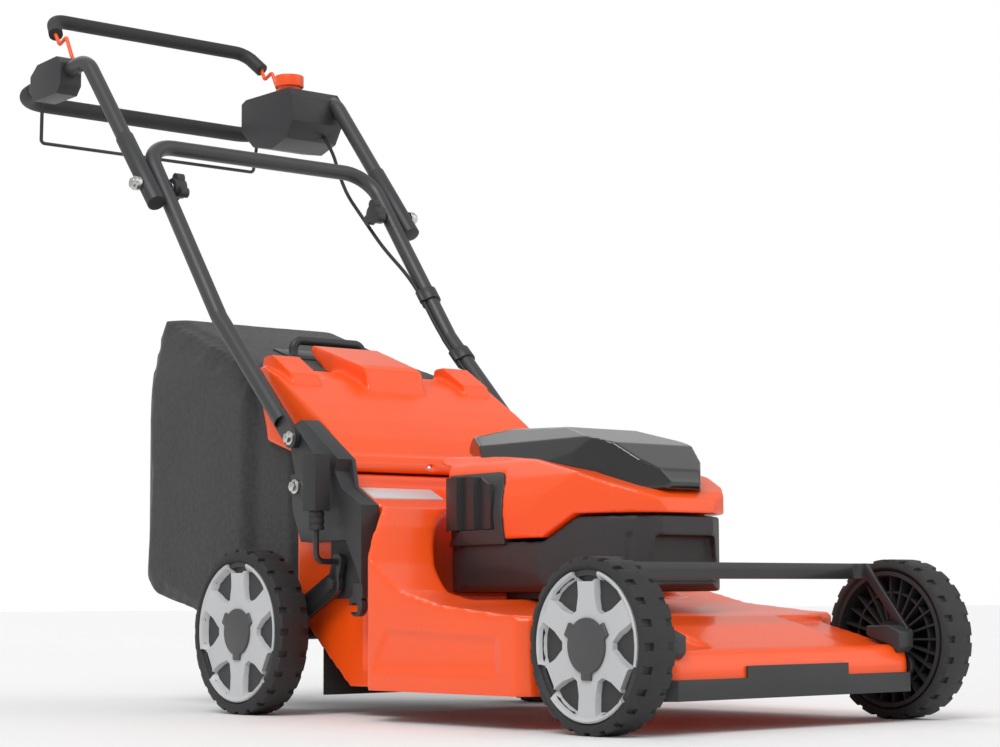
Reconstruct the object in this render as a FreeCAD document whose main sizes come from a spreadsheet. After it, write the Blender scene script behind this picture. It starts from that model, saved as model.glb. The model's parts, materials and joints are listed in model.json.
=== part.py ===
import FreeCAD, Part
import math
import os
import re
import Sketcher

# A battery push lawn mower with a 53 cm cut, in millimetres.
# Front is -Y, up is +Z, and the operator's right hand is on the -X side.
# Every piece is drawn with the rear wheels' centre line at Y = 0 and the ground at Z = 0,
# then moved along Y so that the origin is under the middle of the whole mower.

Vec = FreeCAD.Vector
doc = FreeCAD.newDocument("push_mower")

SIZES = {
    # wheels and axles
    "wheelbase": 727, "front_wheel_radius": 101.5, "rear_wheel_radius": 113.5,
    "front_rim_radius": 87, "rear_rim_radius": 96.5, "tyre_width": 50,
    "front_wheel_face": 280, "rear_wheel_face": 288, "axle_radius": 7, "run_clear": 0.06,
    "hub_radius": 22, "window_inner": 46, "rim_lip": 10, "web_front": 8, "web_thickness": 6,
    "cap_radius": 32, "cap_ear_reach": 39, "cap_ear_width": 17, "cap_thickness": 7,
    "lug_count": 24, "lug_depth": 4, "lug_gap": 9, "lug_width": 14,
    # height adjustment: pivots of the rear swing arms and of the front crank
    "arm_pivot_y": -140, "arm_pivot_z": 178, "crank_pivot_y": -770, "crank_pivot_z": 70,
    "arm_thickness": 8, "arm_radius": 16, "rear_arm_x": 214, "front_arm_x": 211,
    "pivot_pin_radius": 8, "gearbox_radius": 30, "gearbox_half_width": 42, "drive_shaft_radius": 6.5,
    "lever_x": 255, "lever_top": 352, "lever_rod_radius": 4, "grip_radius": 11, "grip_length": 76,
    # deck
    "wall": 3, "rim_z": 38, "deck_half_width": 272, "tower_half_width": 200, "nose_half_width": 205,
    "nose_front": -790, "well_y": -612, "flare_y": -292, "flare_start": -226, "tower_back": -22,
    "deck_top_z": 152, "nose_top_z": 104, "rail_z": 138, "tower_z": 292, "valley_half_width": 196,
    "tunnel_floor_z": 140, "ramp_front": -150,
    "chamber_radius": 269, "blade_y": -400, "mouth_top_z": 352, "skirt_y": -72, "skirt_low_z": 26,
    # cutting gear
    "blade_length": 522, "blade_width": 56, "blade_thickness": 4, "blade_z": 52,
    "motor_radius": 58, "motor_height": 66, "shaft_radius": 9,
    # drive unit on top of the deck
    "base_floor_z": 164, "base_ring_radius": 100, "cover_half_width": 132, "cover_front": -612,
    "cover_back": -202, "cover_step_y": -494, "cover_split_z": 232, "nose_split_z": 262, "cover_wall": 3,
    "lid_half_width": 92, "lid_front": -603, "lid_back": -224, "lid_thickness": 3,
    "lid_pivot_y": -226, "lid_pivot_z": 366, "lid_barrel_radius": 4,
    "battery_length": 230, "battery_width": 118, "battery_height": 62, "battery_z": 238,
    # rear flap
    "flap_half_width": 195, "flap_wall": 3, "flap_pivot_y": -140, "flap_pivot_z": 338, "flap_rod_radius": 4,
    # grass bag
    "bag_half_width": 196, "bag_wall": 3, "bag_front": 2, "bag_back": 424, "bag_floor_z": 136,
    "bag_front_floor_z": 168, "bag_top_z": 606, "bag_handle_y": 196,
    # handle
    "tube_radius": 12.5, "tube_wall": 2, "lower_x": 214.5, "upper_x": 242, "sleeve_wall": 1.8,
    "fold_y": -30, "fold_z": 383, "knee_y": 167, "knee_z": 575, "lower_top_y": 391, "lower_top_z": 872,
    "knob_z": 796, "bend_y": 534, "bend_z": 1031, "handle_reach": 778, "handle_end_z": 1008,
    "handle_bend": 50, "grip_wall": 1.3, "bolt_radius": 4, "knob_radius": 24, "knob_depth": 20,
    "strap_width": 20, "strap_thickness": 5, "strap_z": 188, "strap_y": -702, "strap_end_y": -775,
    "strap_end_z": 108,
    # hand controls
    "bail_pivot_y": 622, "bail_pivot_z": 1034, "bail_bar_radius": 12, "bail_y": 748, "bail_bar_z": 1150,
    "bail_x": 205, "bail_rod_radius": 3.2, "drive_pivot_y": 640, "drive_pivot_z": 1004,
    "drive_bar_y": 748, "drive_bar_z": 934, "drive_rod_radius": 3, "button_radius": 25,
    "button_height": 20, "button_travel": 6, "cable_radius": 3,
}
sheet = doc.addObject("Spreadsheet::Sheet", "sizes")
for row, (word, number) in enumerate(SIZES.items(), 1):
    sheet.set("A%d" % row, word)
    sheet.set("B%d" % row, str(number))
    sheet.setAlias("B%d" % row, word)
doc.recompute()

pieces = []
SHIFT_Y = "(wheelbase + front_wheel_radius - handle_reach - tube_radius - grip_wall) / 2"


def bind(text):
    """An expression in the sheet's words, as FreeCAD wants it."""
    return re.sub(r"[a-z][a-z0-9_]+", lambda m: "sizes." + m[0] if m[0] in SIZES else m[0], str(text))


def num(text):
    """The number that an expression in the sheet's words gives now."""
    return float(sheet.evalExpression(bind(text)))


def name_piece(piece, node):
    """Give a finished piece its node name and its place along the mower."""
    piece.Label = node
    piece.setExpression("Placement.Base.y", bind(SHIFT_Y))
    pieces.append(piece)
    return piece


def new_body(node):
    return name_piece(doc.addObject("PartDesign::Body", node), node)


AXES = {"x": FreeCAD.Rotation(Vec(0, 1, 0), 90), "y": FreeCAD.Rotation(Vec(1, 0, 0), -90),
        "z": FreeCAD.Rotation()}


def shape_in(body, kind, sizes, at, turn=None):
    """Add or subtract one primitive of a body, with its sizes and its place bound to the sheet."""
    feature = body.newObject("PartDesign::" + kind, kind)
    feature.Placement = FreeCAD.Placement(Vec(), turn or FreeCAD.Rotation())
    for word, text in sizes.items():
        feature.setExpression(word, bind(text))
    for axis, text in zip("xyz", at):
        feature.setExpression("Placement.Base." + axis, bind(text))
    return feature


def box(body, at, size, cut=False, turn=None):
    kind = "SubtractiveBox" if cut else "AdditiveBox"
    return shape_in(body, kind, dict(zip(("Length", "Width", "Height"), size)), at, turn)


def rod(body, axis, at, radius, length, cut=False):
    kind = "SubtractiveCylinder" if cut else "AdditiveCylinder"
    return shape_in(body, kind, {"Radius": radius, "Height": length}, at, AXES[axis])


def plane_of(body, role):
    return [item for item in body.Origin.OriginFeatures if item.Role == role][0]


def outline(body, role, points, lift="0"):
    """A closed sketch through points, each bound to two expressions."""
    sketch = body.newObject("Sketcher::SketchObject", "outline")
    sketch.AttachmentSupport = [(plane_of(body, role), "")]
    sketch.MapMode = "FlatFace"
    sketch.setExpression("AttachmentOffset.Base.z", bind(lift))
    spots = [Vec(num(x), num(y), 0) for x, y in points]
    count = len(spots)
    sketch.addGeometry([Part.LineSegment(spots[i], spots[(i + 1) % count]) for i in range(count)], False)
    ties = [Sketcher.Constraint("Coincident", i, 2, (i + 1) % count, 1) for i in range(count)]
    for i, spot in enumerate(spots):
        ties.append(Sketcher.Constraint("DistanceX", -1, 1, i, 1, spot.x))
        ties.append(Sketcher.Constraint("DistanceY", -1, 1, i, 1, spot.y))
    sketch.addConstraint(ties)
    for i, (x, y) in enumerate(points):
        sketch.setExpression("Constraints[%d]" % (count + 2 * i), bind(x))
        sketch.setExpression("Constraints[%d]" % (count + 2 * i + 1), bind(y))
    return sketch


def pad(body, role, points, length, lift="0", both_ways=False, cut=False):
    """Pad or pocket an outline along its plane's normal."""
    sketch = outline(body, role, points, lift)
    feature = body.newObject("PartDesign::Pocket" if cut else "PartDesign::Pad", "pad")
    feature.Profile = sketch
    feature.setExpression("Length", bind(length))
    feature.Midplane = both_ways
    feature.Reversed = cut and not both_ways
    return feature


def turned(body, points):
    """Revolve an outline drawn on the XY plane about X."""
    sketch = outline(body, "XY_Plane", points)
    feature = body.newObject("PartDesign::Revolution", "turned")
    feature.Profile = sketch
    feature.ReferenceAxis = (sketch, ["H_Axis"])
    feature.Angle = 360
    return feature


def ring_of(body, feature, count):
    """Repeat a feature evenly round the body's X axis."""
    pattern = body.newObject("PartDesign::PolarPattern", "ring")
    pattern.Originals = [feature]
    pattern.Axis = (plane_of(body, "X_Axis"), [""])
    pattern.Angle = 360
    pattern.setExpression("Occurrences", bind(count))
    body.Tip = pattern
    return pattern


def free_piece(node, shape):
    """A bent or lofted piece, whose shape is worked out from the sheet's numbers."""
    piece = doc.addObject("Part::Feature", node)
    piece.Shape = shape
    return name_piece(piece, node)


def path(points, bend):
    """A wire of straight runs with tangent arcs of one radius at its corners."""
    edges, start = [], points[0]
    for before, corner, after in zip(points, points[1:], points[2:]):
        into, out = (corner - before).normalize(), (after - corner).normalize()
        turn = into.getAngle(out)
        back = bend * math.tan(turn / 2)
        first, last = corner - into * back, corner + out * back
        inward = (out - into).normalize()
        middle = corner + inward * (bend / math.cos(turn / 2) - bend)
        edges.append(Part.LineSegment(start, first).toShape())
        edges.append(Part.Arc(first, middle, last).toShape())
        start = last
    edges.append(Part.LineSegment(start, points[-1]).toShape())
    return Part.Wire(edges)


def bent_rod(points, bend, radius):
    """A round rod along straight runs and arcs."""
    route = path(points, bend)
    disc = Part.Wire([Part.makeCircle(radius, points[0], points[1] - points[0])])
    return route.makePipeShell([disc], True, False)


def bent_tube(points, bend, radius, wall):
    """A round tube, open at both ends."""
    return bent_rod(points, bend, radius).cut(bent_rod(points, bend, radius - wall))


def slab(points, axis, start, length):
    """A flat outline of (u, v) points pushed along X or Z."""
    if axis == "x":
        corners = [Vec(start, u, v) for u, v in points]
        push = Vec(length, 0, 0)
    else:
        corners = [Vec(u, v, start) for u, v in points]
        push = Vec(0, 0, length)
    return Part.Face(Part.makePolygon(corners + corners[:1])).extrude(push)


def disc_x(y, z, radius, start, length):
    return Part.makeCylinder(radius, length, Vec(start, y, z), Vec(1, 0, 0))


def disc_z(x, y, radius, start, length):
    return Part.makeCylinder(radius, length, Vec(x, y, start), Vec(0, 0, 1))


def mirrored(shape):
    return shape.mirror(Vec(), Vec(1, 0, 0))


def both_sides(shape):
    return Part.makeCompound([shape, mirrored(shape)])


def arm_between(first, last, radius, start, thickness):
    """A flat arm with round ends, in a plane across X."""
    along = Vec(0, last[0] - first[0], last[1] - first[1])
    side = Vec(1, 0, 0).cross(along).normalize() * radius
    ends = [Vec(start, *first), Vec(start, *last)]
    corners = [ends[0] + side, ends[1] + side, ends[1] - side, ends[0] - side]
    web = Part.Face(Part.makePolygon(corners + corners[:1])).extrude(Vec(thickness, 0, 0))
    rounds = [disc_x(y, z, radius, start, thickness) for y, z in (first, last)]
    return web.fuse(rounds).removeSplitter()


# --- wheels ---------------------------------------------------------------------------------

def seat_wheel(body, side, face, wheel_y, wheel_z):
    """Put a wheel's piece on its axle, drawn with its outer face at X = 0 and its inside at +X."""
    if side == "left":
        body.Placement = FreeCAD.Placement(Vec(), FreeCAD.Rotation(Vec(0, 0, 1), 180))
    body.setExpression("Placement.Base.x", bind(face if side == "left" else "-" + face))
    body.setExpression("Placement.Base.y", bind("%s + %s" % (SHIFT_Y, wheel_y)))
    body.setExpression("Placement.Base.z", bind(wheel_z))


def wheel_tyre(body, radius, rim):
    turned(body, [("0", rim + " + 4"), ("0", radius + " - 9"), ("4", radius), ("tyre_width - 4", radius),
                  ("tyre_width", radius + " - 9"), ("tyre_width", rim + " + 4"),
                  ("tyre_width - 5", rim), ("5", rim)])
    doc.recompute()
    size = ("lug_width + 2", "lug_gap", "lug_depth + 2")
    low = radius + " - lug_depth"
    outside = box(body, ("-2", "-lug_gap / 2", low), size, cut=True)
    inside = box(body, ("tyre_width - lug_width", "-lug_gap / 2", low), size, cut=True)
    pattern = ring_of(body, outside, "lug_count")
    pattern.Originals = [outside, inside]


def wheel_rim(body, rim, shaft):
    bore, back = shaft + " + run_clear", "web_front + web_thickness"
    web_reach = rim + " - rim_lip - 2"
    turned(body, [("web_front", bore), ("tyre_width - 6", bore), ("tyre_width - 6", "hub_radius"),
                  (back, "hub_radius"), (back, web_reach), ("tyre_width - 4", rim + " - 5"),
                  ("tyre_width - 4", rim), ("3", rim), ("3", rim + " - 6"), ("web_front", web_reach)])
    doc.recompute()
    reach = rim + " - 15"
    corners = [("window_inner", "-9"), (reach, "-25"), (reach, "25"), ("window_inner", "9")]
    window = pad(body, "YZ_Plane", corners,
                 "web_thickness + 4", lift="web_front - 2", cut=True)
    ring_of(body, window, "6")


def wheel_cap(body):
    rod(body, "x", ("web_front - cap_thickness", "0", "0"), "cap_radius", "cap_thickness")
    ear = box(body, ("web_front - cap_thickness", "-cap_ear_width / 2", "-cap_ear_reach"),
              ("cap_thickness", "cap_ear_width", "cap_ear_reach"))
    ring_of(body, ear, "3")


WHEELS = {"front": ("front_wheel_face", "-wheelbase", "front_wheel_radius", "front_rim_radius",
                    "axle_radius"),
          "rear": ("rear_wheel_face", "0", "rear_wheel_radius", "rear_rim_radius", "drive_shaft_radius")}
for end, (face, wheel_y, radius, rim, shaft) in WHEELS.items():
    for side in ("right", "left"):
        tyre = new_body("%s_%s_tyre" % (end, side))
        wheel_tyre(tyre, radius, rim)
        rim_body = new_body("%s_%s_rim" % (end, side))
        wheel_rim(rim_body, rim, shaft)
        cap = new_body("%s_%s_cap" % (end, side))
        wheel_cap(cap)
        for body in (tyre, rim_body, cap):
            seat_wheel(body, side, face, wheel_y, radius)

# --- numbers that the bent and lofted pieces share -------------------------------------------
WALL = num("wall")
AXLE_END = 12
front_hub = (num("-wheelbase"), num("front_wheel_radius"))
rear_hub = (0, num("rear_wheel_radius"))
crank = (num("crank_pivot_y"), num("crank_pivot_z"))
pivot = (num("arm_pivot_y"), num("arm_pivot_z"))
CLEAR = num("run_clear")
blade_y = num("blade_y")


# --- front axle: one rod, cranked at both ends -----------------------------------------------

def front_axle():
    start, thick, radius = num("front_arm_x"), num("arm_thickness"), num("axle_radius")
    stub = num("front_wheel_face") - AXLE_END - start
    arm = arm_between(crank, front_hub, num("arm_radius") - 2, start, thick)
    stub_rod = disc_x(*front_hub, radius, start, stub)
    cross = disc_x(*crank, radius, -start - thick, 2 * (start + thick))
    return cross.fuse([arm, stub_rod, mirrored(arm), mirrored(stub_rod)]).removeSplitter()


free_piece("front_axle", front_axle())


# --- rear axle: two swing arms on a cross tube, with the drive shaft inside it ----------------

lever_foot = (pivot[0] - 10, pivot[1] + 30)


def rear_axle_frame():
    start, thick, radius = num("rear_arm_x"), num("arm_thickness"), num("arm_radius")
    arm = arm_between(pivot, rear_hub, radius, start, thick)
    tab = arm_between(pivot, lever_foot, radius - 5, -start - thick, thick)
    tube = disc_x(*rear_hub, radius - 4, -start, 2 * start)
    solid = tube.fuse([arm, mirrored(arm), tab])
    width = 2 * (start + thick)
    shaft_hole = disc_x(*rear_hub, num("drive_shaft_radius") + CLEAR, -width / 2, width)
    pin_hole = disc_x(*pivot, num("pivot_pin_radius") + CLEAR, -width / 2, width)
    return solid.cut(shaft_hole).cut(pin_hole).removeSplitter()


free_piece("rear_axle_frame", rear_axle_frame())

shaft = new_body("drive_shaft")
rod(shaft, "x", ("-rear_wheel_face + 12", "0", "rear_wheel_radius"), "drive_shaft_radius",
    "2 * (rear_wheel_face - 12)")

gearbox = new_body("drive_gearbox")
rod(gearbox, "x", ("-gearbox_half_width", "0", "rear_wheel_radius"), "gearbox_radius",
    "2 * gearbox_half_width")
rod(gearbox, "x", ("-gearbox_half_width - 10", "0", "rear_wheel_radius"), "gearbox_radius - 8",
    "2 * gearbox_half_width + 20")
rod(gearbox, "x", ("-gearbox_half_width - 12", "0", "rear_wheel_radius"), "arm_radius - 4",
    "2 * gearbox_half_width + 24", cut=True)

lever_x = num("lever_x")
lever = bent_rod([Vec(-lever_x, lever_foot[0], num("lever_top") - 8), Vec(-lever_x, *lever_foot),
                  Vec(-num("rear_arm_x") - num("arm_thickness"), *lever_foot)], 12, num("lever_rod_radius"))
free_piece("height_lever", lever)

grip = new_body("lever_grip")
LEVER_Y = "arm_pivot_y - 10"
box(grip, ("-lever_x - 12", LEVER_Y + " - 15", "lever_top - grip_length"), ("24", "30", "grip_length"))
for drop in (8, 17, 26):
    rod(grip, "z", ("-lever_x", LEVER_Y, "lever_top - grip_length - %d" % drop), "grip_radius - 1", "9")
    rod(grip, "z", ("-lever_x", LEVER_Y, "lever_top - grip_length - %d" % drop), "grip_radius", "6")
rod(grip, "z", ("-lever_x", LEVER_Y, "lever_top - grip_length - 40"), "lever_rod_radius", "grip_length + 32",
    cut=True)


# --- deck -------------------------------------------------------------------------------------

def shrunk(points, axis, start, length, wall):
    """The slab of an outline whose edges all move inwards by a wall."""
    if axis == "x":
        corners = [Vec(0, u, v) for u, v in points]
    else:
        corners = [Vec(u, v, 0) for u, v in points]
    wire = Part.makePolygon(corners + corners[:1])
    face = Part.Face(wire)
    inner = Part.Face(wire.makeOffset2D(-wall, 2))
    if inner.Area > face.Area:
        inner = Part.Face(wire.makeOffset2D(wall, 2))
    push = Vec(length, 0, 0) if axis == "x" else Vec(0, 0, length)
    lift = Vec(start, 0, 0) if axis == "x" else Vec(0, 0, start)
    inner.translate(lift)
    return inner.extrude(push)


def half_plan():
    """The deck's outline in plan on the +X side, from the nose to the back of the tower."""
    nose, side, tower = num("nose_half_width"), num("deck_half_width"), num("tower_half_width")
    front, well = num("nose_front"), num("well_y")
    return [(nose - 9, front), (nose, front + 9), (nose, well - 2), (side - 14, well + 4), (side, well + 18),
            (side, num("flare_y")), (tower, num("flare_start")), (tower, num("tower_back"))]


def deck_plan():
    half = half_plan()
    return half + [(-x, y) for x, y in reversed(half)]


def deck_profile():
    """The deck seen from its side: nose, rail, and the tower that the flap closes."""
    rim, front, rail = num("rim_z"), num("nose_front"), num("rail_z")
    tower, back, mouth = num("tower_z"), num("tower_back"), num("mouth_top_z")
    return [(front, rim), (front, rim + 38), (front + 12, rim + 56), (front + 44, num("nose_top_z")),
            (front + 100, rail - 16), (front + 150, rail - 5), (-560, rail), (-440, rail + 11),
            (-360, rail + 29), (-302, tower - 88), (-262, tower - 40), (-228, tower - 12),
            (-190, tower - 2), (-150, tower + 17), (-146, tower + 36), (-126, tower + 38),
            (back, mouth), (back, num("tunnel_floor_z")), (num("ramp_front"), rim)]


def deck_shell():
    plan, profile = deck_plan(), deck_profile()
    side, rim, top = num("deck_half_width"), num("rim_z"), num("tower_z") + 100
    tower, front, back = num("tower_half_width"), num("nose_front"), num("tower_back")
    scoop_z = num("deck_top_z") + WALL
    outer = slab(profile, "x", -side, 2 * side).common(slab(plan, "z", 0, top))
    outer = outer.cut(disc_z(0, blade_y, num("valley_half_width"), scoop_z, top))
    void = shrunk(profile, "x", -side, 2 * side, WALL).common(shrunk(plan, "z", 0, top, WALL))
    void = void.cut(disc_z(0, blade_y, num("valley_half_width") + WALL, scoop_z - WALL, top))
    skirt = shrunk([(x, min(y, num("ramp_front") - WALL)) for x, y in plan], "z", 0, rim + 2 * WALL, WALL)
    mouth_low, mouth_high = num("tunnel_floor_z") + WALL, num("mouth_top_z") - 2 * WALL
    mouth = Part.makeBox(2 * (tower - WALL), 4 * WALL, mouth_high - mouth_low,
                         Vec(WALL - tower, back - 2 * WALL, mouth_low))
    shell = outer.cut(void).cut(skirt).cut(mouth)
    ring = disc_z(0, blade_y, num("chamber_radius") + WALL, rim, 100)
    ring = ring.cut(disc_z(0, blade_y, num("chamber_radius"), 0, 300)).common(outer)
    gate = Part.makeBox(2 * tower, 300, 300, Vec(-tower, blade_y + 60, 0))
    boss = disc_x(*crank, num("axle_radius") + 9, num("nose_half_width") - 12, 12)
    lug = disc_x(num("flap_pivot_y"), num("flap_pivot_z"), num("flap_rod_radius") + 2.5, tower - 18, 8)
    foot = Part.makeBox(8, 10, 14, Vec(tower - 18, num("flap_pivot_y") - 3, num("flap_pivot_z") - 16))
    shell = shell.fuse([ring.cut(gate), boss, mirrored(boss), lug.fuse(foot), mirrored(lug.fuse(foot))])
    holes = [disc_x(*crank, num("axle_radius") + CLEAR, -side, 2 * side),
             disc_z(0, blade_y, num("shaft_radius") + 5, scoop_z - 20, 40),
             disc_x(num("flap_pivot_y"), num("flap_pivot_z"), num("flap_rod_radius"), -side, 2 * side)]
    for hole in holes:
        shell = shell.cut(hole)
    return shell.removeSplitter()


free_piece("deck_shell", deck_shell())


def front_bumper():
    nose, front, rim = num("nose_half_width"), num("nose_front"), num("rim_z")
    reach, proud = 46, 4
    inner = [(nose - 9, front), (nose, front + 9), (nose, front + reach), (-nose, front + reach),
             (-nose, front + 9), (9 - nose, front)]
    outer = [(nose - 7, front - proud), (nose + proud, front + 7), (nose + proud, front + reach),
             (-nose - proud, front + reach), (-nose - proud, front + 7), (7 - nose, front - proud)]
    band = slab(outer, "z", rim, 24).cut(slab(inner, "z", 0, 200))
    middle = Part.makeBox(172, proud, 15, Vec(-86, front - proud, rim + 23))
    room = disc_x(*crank, num("arm_radius") + 1, -nose - 20, 2 * nose + 40)
    return band.fuse(middle).cut(room).removeSplitter()


free_piece("front_bumper", front_bumper())

# The rubber skirt hangs from the ramp behind the deck and ends where it meets the ramp.
SKIRT_TOP = "(rim_z + (skirt_y - ramp_front) * (tunnel_floor_z - rim_z) / (tower_back - ramp_front))"

skirt = new_body("rear_skirt")
box(skirt, ("-tower_half_width + 12", "skirt_y", "skirt_low_z"),
    ("2 * (tower_half_width - 12)", "3", SKIRT_TOP + " - skirt_low_z"))


def handle_bracket():
    """The right bracket: a plate on the tower's side, with a deep outer cover and the arm's pivot pin."""
    inner = num("tower_half_width") + 3
    sheet_outline = [(-18, 366), (-18, 400), (-45, 408), (-80, 405), (-168, 346), (-176, 308), (-222, 282),
                     (-222, 158), (-118, 158), (-118, 236), (-60, 236), (-44, 290), (-30, 330)]
    plate = slab(sheet_outline, "x", -inner - 6, 6)
    cover_outline = [(-52, 330), (-160, 330), (-176, 306), (-222, 282), (-222, 176), (-206, 204), (-186, 236),
                     (-79, 236), (-58, 280)]
    cover = slab(cover_outline, "x", -inner - 29, 24)
    room = shrunk(cover_outline, "x", -inner - 25, 26, 4)
    wing = slab([(-62, 398), (-84, 404), (-168, 346), (-160, 330), (-140, 330)], "x", -inner - 29, 24)
    wing_room = [(-62, 398), (-84, 404), (-168, 346), (-160, 330), (-140, 330)]
    wing_room = shrunk(wing_room, "x", -inner - 25, 22, 4)
    boss = disc_x(-65, 313, 15, -inner - 29, 24)
    pin = disc_x(*pivot, num("pivot_pin_radius"), -inner - 24, 20)
    hook = disc_x(-206, 149, 15, -inner - 27, 10).cut(disc_x(-203, 145, 8, -inner - 40, 40))
    hook = hook.cut(Part.makeBox(60, 30, 9, Vec(-inner - 40, -203, 140)))
    neck = slab([(-222, 178), (-222, 158), (-200, 158), (-200, 178)], "x", -inner - 27, 26)
    solid = plate.fuse([cover.cut(room), wing.cut(wing_room), boss, pin, hook, neck])
    holes = [disc_x(num("fold_y"), num("fold_z"), num("bolt_radius"), -inner - 60, 80),
             disc_x(-65, 313, num("bolt_radius"), -inner - 60, 80)]
    for hole in holes:
        solid = solid.cut(hole)
    return solid.removeSplitter()


free_piece("right_handle_bracket", handle_bracket())
free_piece("left_handle_bracket", mirrored(handle_bracket()))


# --- lift bar over the nose -------------------------------------------------------------------

def lift_bar():
    half, thick, width = num("nose_half_width") + 8, num("strap_thickness"), num("strap_width")
    back, top = num("strap_y"), num("strap_z") + width / 2
    end_y, end_z, bend = num("strap_end_y"), num("strap_end_z"), 18
    across = Part.makeBox(2 * (half - bend), thick, width, Vec(bend - half, back, top - width))
    corner = disc_z(half - bend, back - bend + thick, bend, top - width, width)
    corner = corner.cut(disc_z(half - bend, back - bend + thick, bend - thick, 0, 400))
    corner = corner.common(Part.makeBox(bend, bend, 400, Vec(half - bend, back - bend + thick, 0)))
    start_y = back - bend + thick
    leg = slab([(start_y, top), (start_y, top - width), (end_y - 6, end_z - 8), (end_y - 12, end_z),
                (end_y - 6, end_z + 9)], "x", half - thick, thick)
    side = corner.fuse(leg)
    return across.fuse([side, mirrored(side)]).removeSplitter()


free_piece("lift_bar", lift_bar())


def lift_block():
    """The right block: it sits on the nose's slope inside the end of the lift bar."""
    front, top, rim = num("nose_front"), num("nose_top_z"), num("rim_z")
    seat = [(front + 6, rim + 47), (front + 12, rim + 56), (front + 44, top), (front + 54, top + 3.3)]
    block = [(front + 54, top + 15), (front + 19, top + 16), (front - 2, top + 8), (front - 2, rim + 55)]
    half = num("nose_half_width")
    return slab(seat + block, "x", -half - 3, 26)


free_piece("right_lift_block", lift_block())
free_piece("left_lift_block", mirrored(lift_block()))

free_piece("lift_bar_screws", both_sides(disc_x(num("strap_end_y") - 3, num("strap_end_z") + 1, 7,
                                                num("nose_half_width") + 8, 4)))


# --- cutting gear: motor, shaft, adapter and blade --------------------------------------------

motor = new_body("cutting_motor")
rod(motor, "z", ("0", "blade_y", "deck_top_z + wall"), "motor_radius", "motor_height")
rod(motor, "z", ("0", "blade_y", "deck_top_z + wall"), "motor_radius + 10", "6")
rod(motor, "z", ("0", "blade_y", "deck_top_z"), "shaft_radius + run_clear", "motor_height + 20", cut=True)

motor_shaft = new_body("motor_shaft")
rod(motor_shaft, "z", ("0", "blade_y", "blade_z + blade_thickness + 20"), "shaft_radius",
    "deck_top_z + wall + motor_height - 4 - blade_z - blade_thickness - 20")

adapter = new_body("blade_adapter")
rod(adapter, "z", ("0", "blade_y", "blade_z + blade_thickness + 6"), "shaft_radius + 8", "30")
rod(adapter, "z", ("0", "blade_y", "blade_z + blade_thickness"), "shaft_radius + 20", "8")
rod(adapter, "z", ("0", "blade_y", "blade_z + blade_thickness + 20"), "shaft_radius", "20", cut=True)
rod(adapter, "z", ("0", "blade_y", "blade_z"), "5", "30", cut=True)

blade = new_body("blade")
box(blade, ("-blade_length / 2", "blade_y - blade_width / 2", "blade_z"),
    ("blade_length", "blade_width", "blade_thickness"))
for low, wing_y in (("-blade_length / 2", "blade_y + blade_width / 2 - 18"),
                    ("blade_length / 2 - 78", "blade_y - blade_width / 2")):
    box(blade, (low, wing_y, "blade_z"), ("78", "18", "blade_thickness + 16"))
    box(blade, (low + " - 5", wing_y + (" - 5" if "+" in wing_y else " + blade_thickness"),
                "blade_z + blade_thickness"), ("90", "18 + 1", "20"), cut=True)
rod(blade, "z", ("0", "blade_y", "blade_z - 10"), "5", "40", cut=True)

blade_bolt = new_body("blade_bolt")
rod(blade_bolt, "z", ("0", "blade_y", "blade_z - 3"), "17", "3")
rod(blade_bolt, "z", ("0", "blade_y", "blade_z - 11"), "9", "8")
rod(blade_bolt, "z", ("0", "blade_y", "blade_z - 3"), "5", "blade_thickness + 18")

# --- drive unit housing on top of the deck ----------------------------------------------------

HALF, FRONT, BACK, CUT = "(cover_half_width - 6)", "(cover_front + 6)", "(cover_back - 44)", "44"


def plan_words(shrink, back=BACK, front=FRONT):
    """The housing's plan in the sheet's words, moved inwards by a wall."""
    half = "(%s - %s)" % (HALF, shrink)
    low, high = "(%s + %s)" % (front, shrink), "(%s - %s)" % (back, shrink)
    return [("%s - %s" % (half, CUT), low), (half, "%s + %s" % (low, CUT)), (half, "%s - 20" % high),
            ("%s - 20" % half, high), ("20 - %s" % half, high), ("-%s" % half, "%s - 20" % high),
            ("-%s" % half, "%s + %s" % (low, CUT)), ("%s - %s" % (CUT, half), low)]


base = new_body("motor_housing_base")
pad(base, "XY_Plane", plan_words("0"), "cover_split_z - base_floor_z", lift="base_floor_z")
pad(base, "XY_Plane", plan_words("0", back="cover_step_y"), "nose_split_z - base_floor_z",
    lift="base_floor_z")
rod(base, "z", ("0", "blade_y", "deck_top_z + wall"), "base_ring_radius", "base_floor_z - deck_top_z")
doc.recompute()
pad(base, "XY_Plane", plan_words("cover_wall"), "nose_split_z", lift="base_floor_z + cover_wall", cut=True)
rod(base, "z", ("0", "blade_y", "deck_top_z"), "base_ring_radius - 4", "base_floor_z - deck_top_z + 10",
    cut=True)
box(base, ("-cover_half_width + 8", "-battery_length / 2 + blade_y - 45", "battery_z - 4"),
    ("2 * (cover_half_width - 8)", "battery_length", "4"))
base.setExpression("Placement.Base.y", bind(SHIFT_Y))

battery = new_body("battery_pack")
box(battery, ("-battery_width / 2", "blade_y - 45 - battery_length / 2", "battery_z"),
    ("battery_width", "battery_length", "battery_height"))
box(battery, ("-24", "blade_y - 45 - battery_length / 2 - 6", "battery_z + 20"), ("48", "8", "26"))


def cover_profile(drop):
    """The orange cover from its side. A drop lowers its bottom edges, so the room inside opens below."""
    front, back, step = num("cover_front"), num("cover_back"), num("cover_step_y")
    split, nose = num("cover_split_z") - drop, num("nose_split_z") - drop
    return [(back, 340), (back - 3, 352), (back - 22, 351), (-590, 291), (front + 4, 280), (front, nose),
            (step, nose), (step, split), (back - 44, split), (back - 44, 306)]


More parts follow.
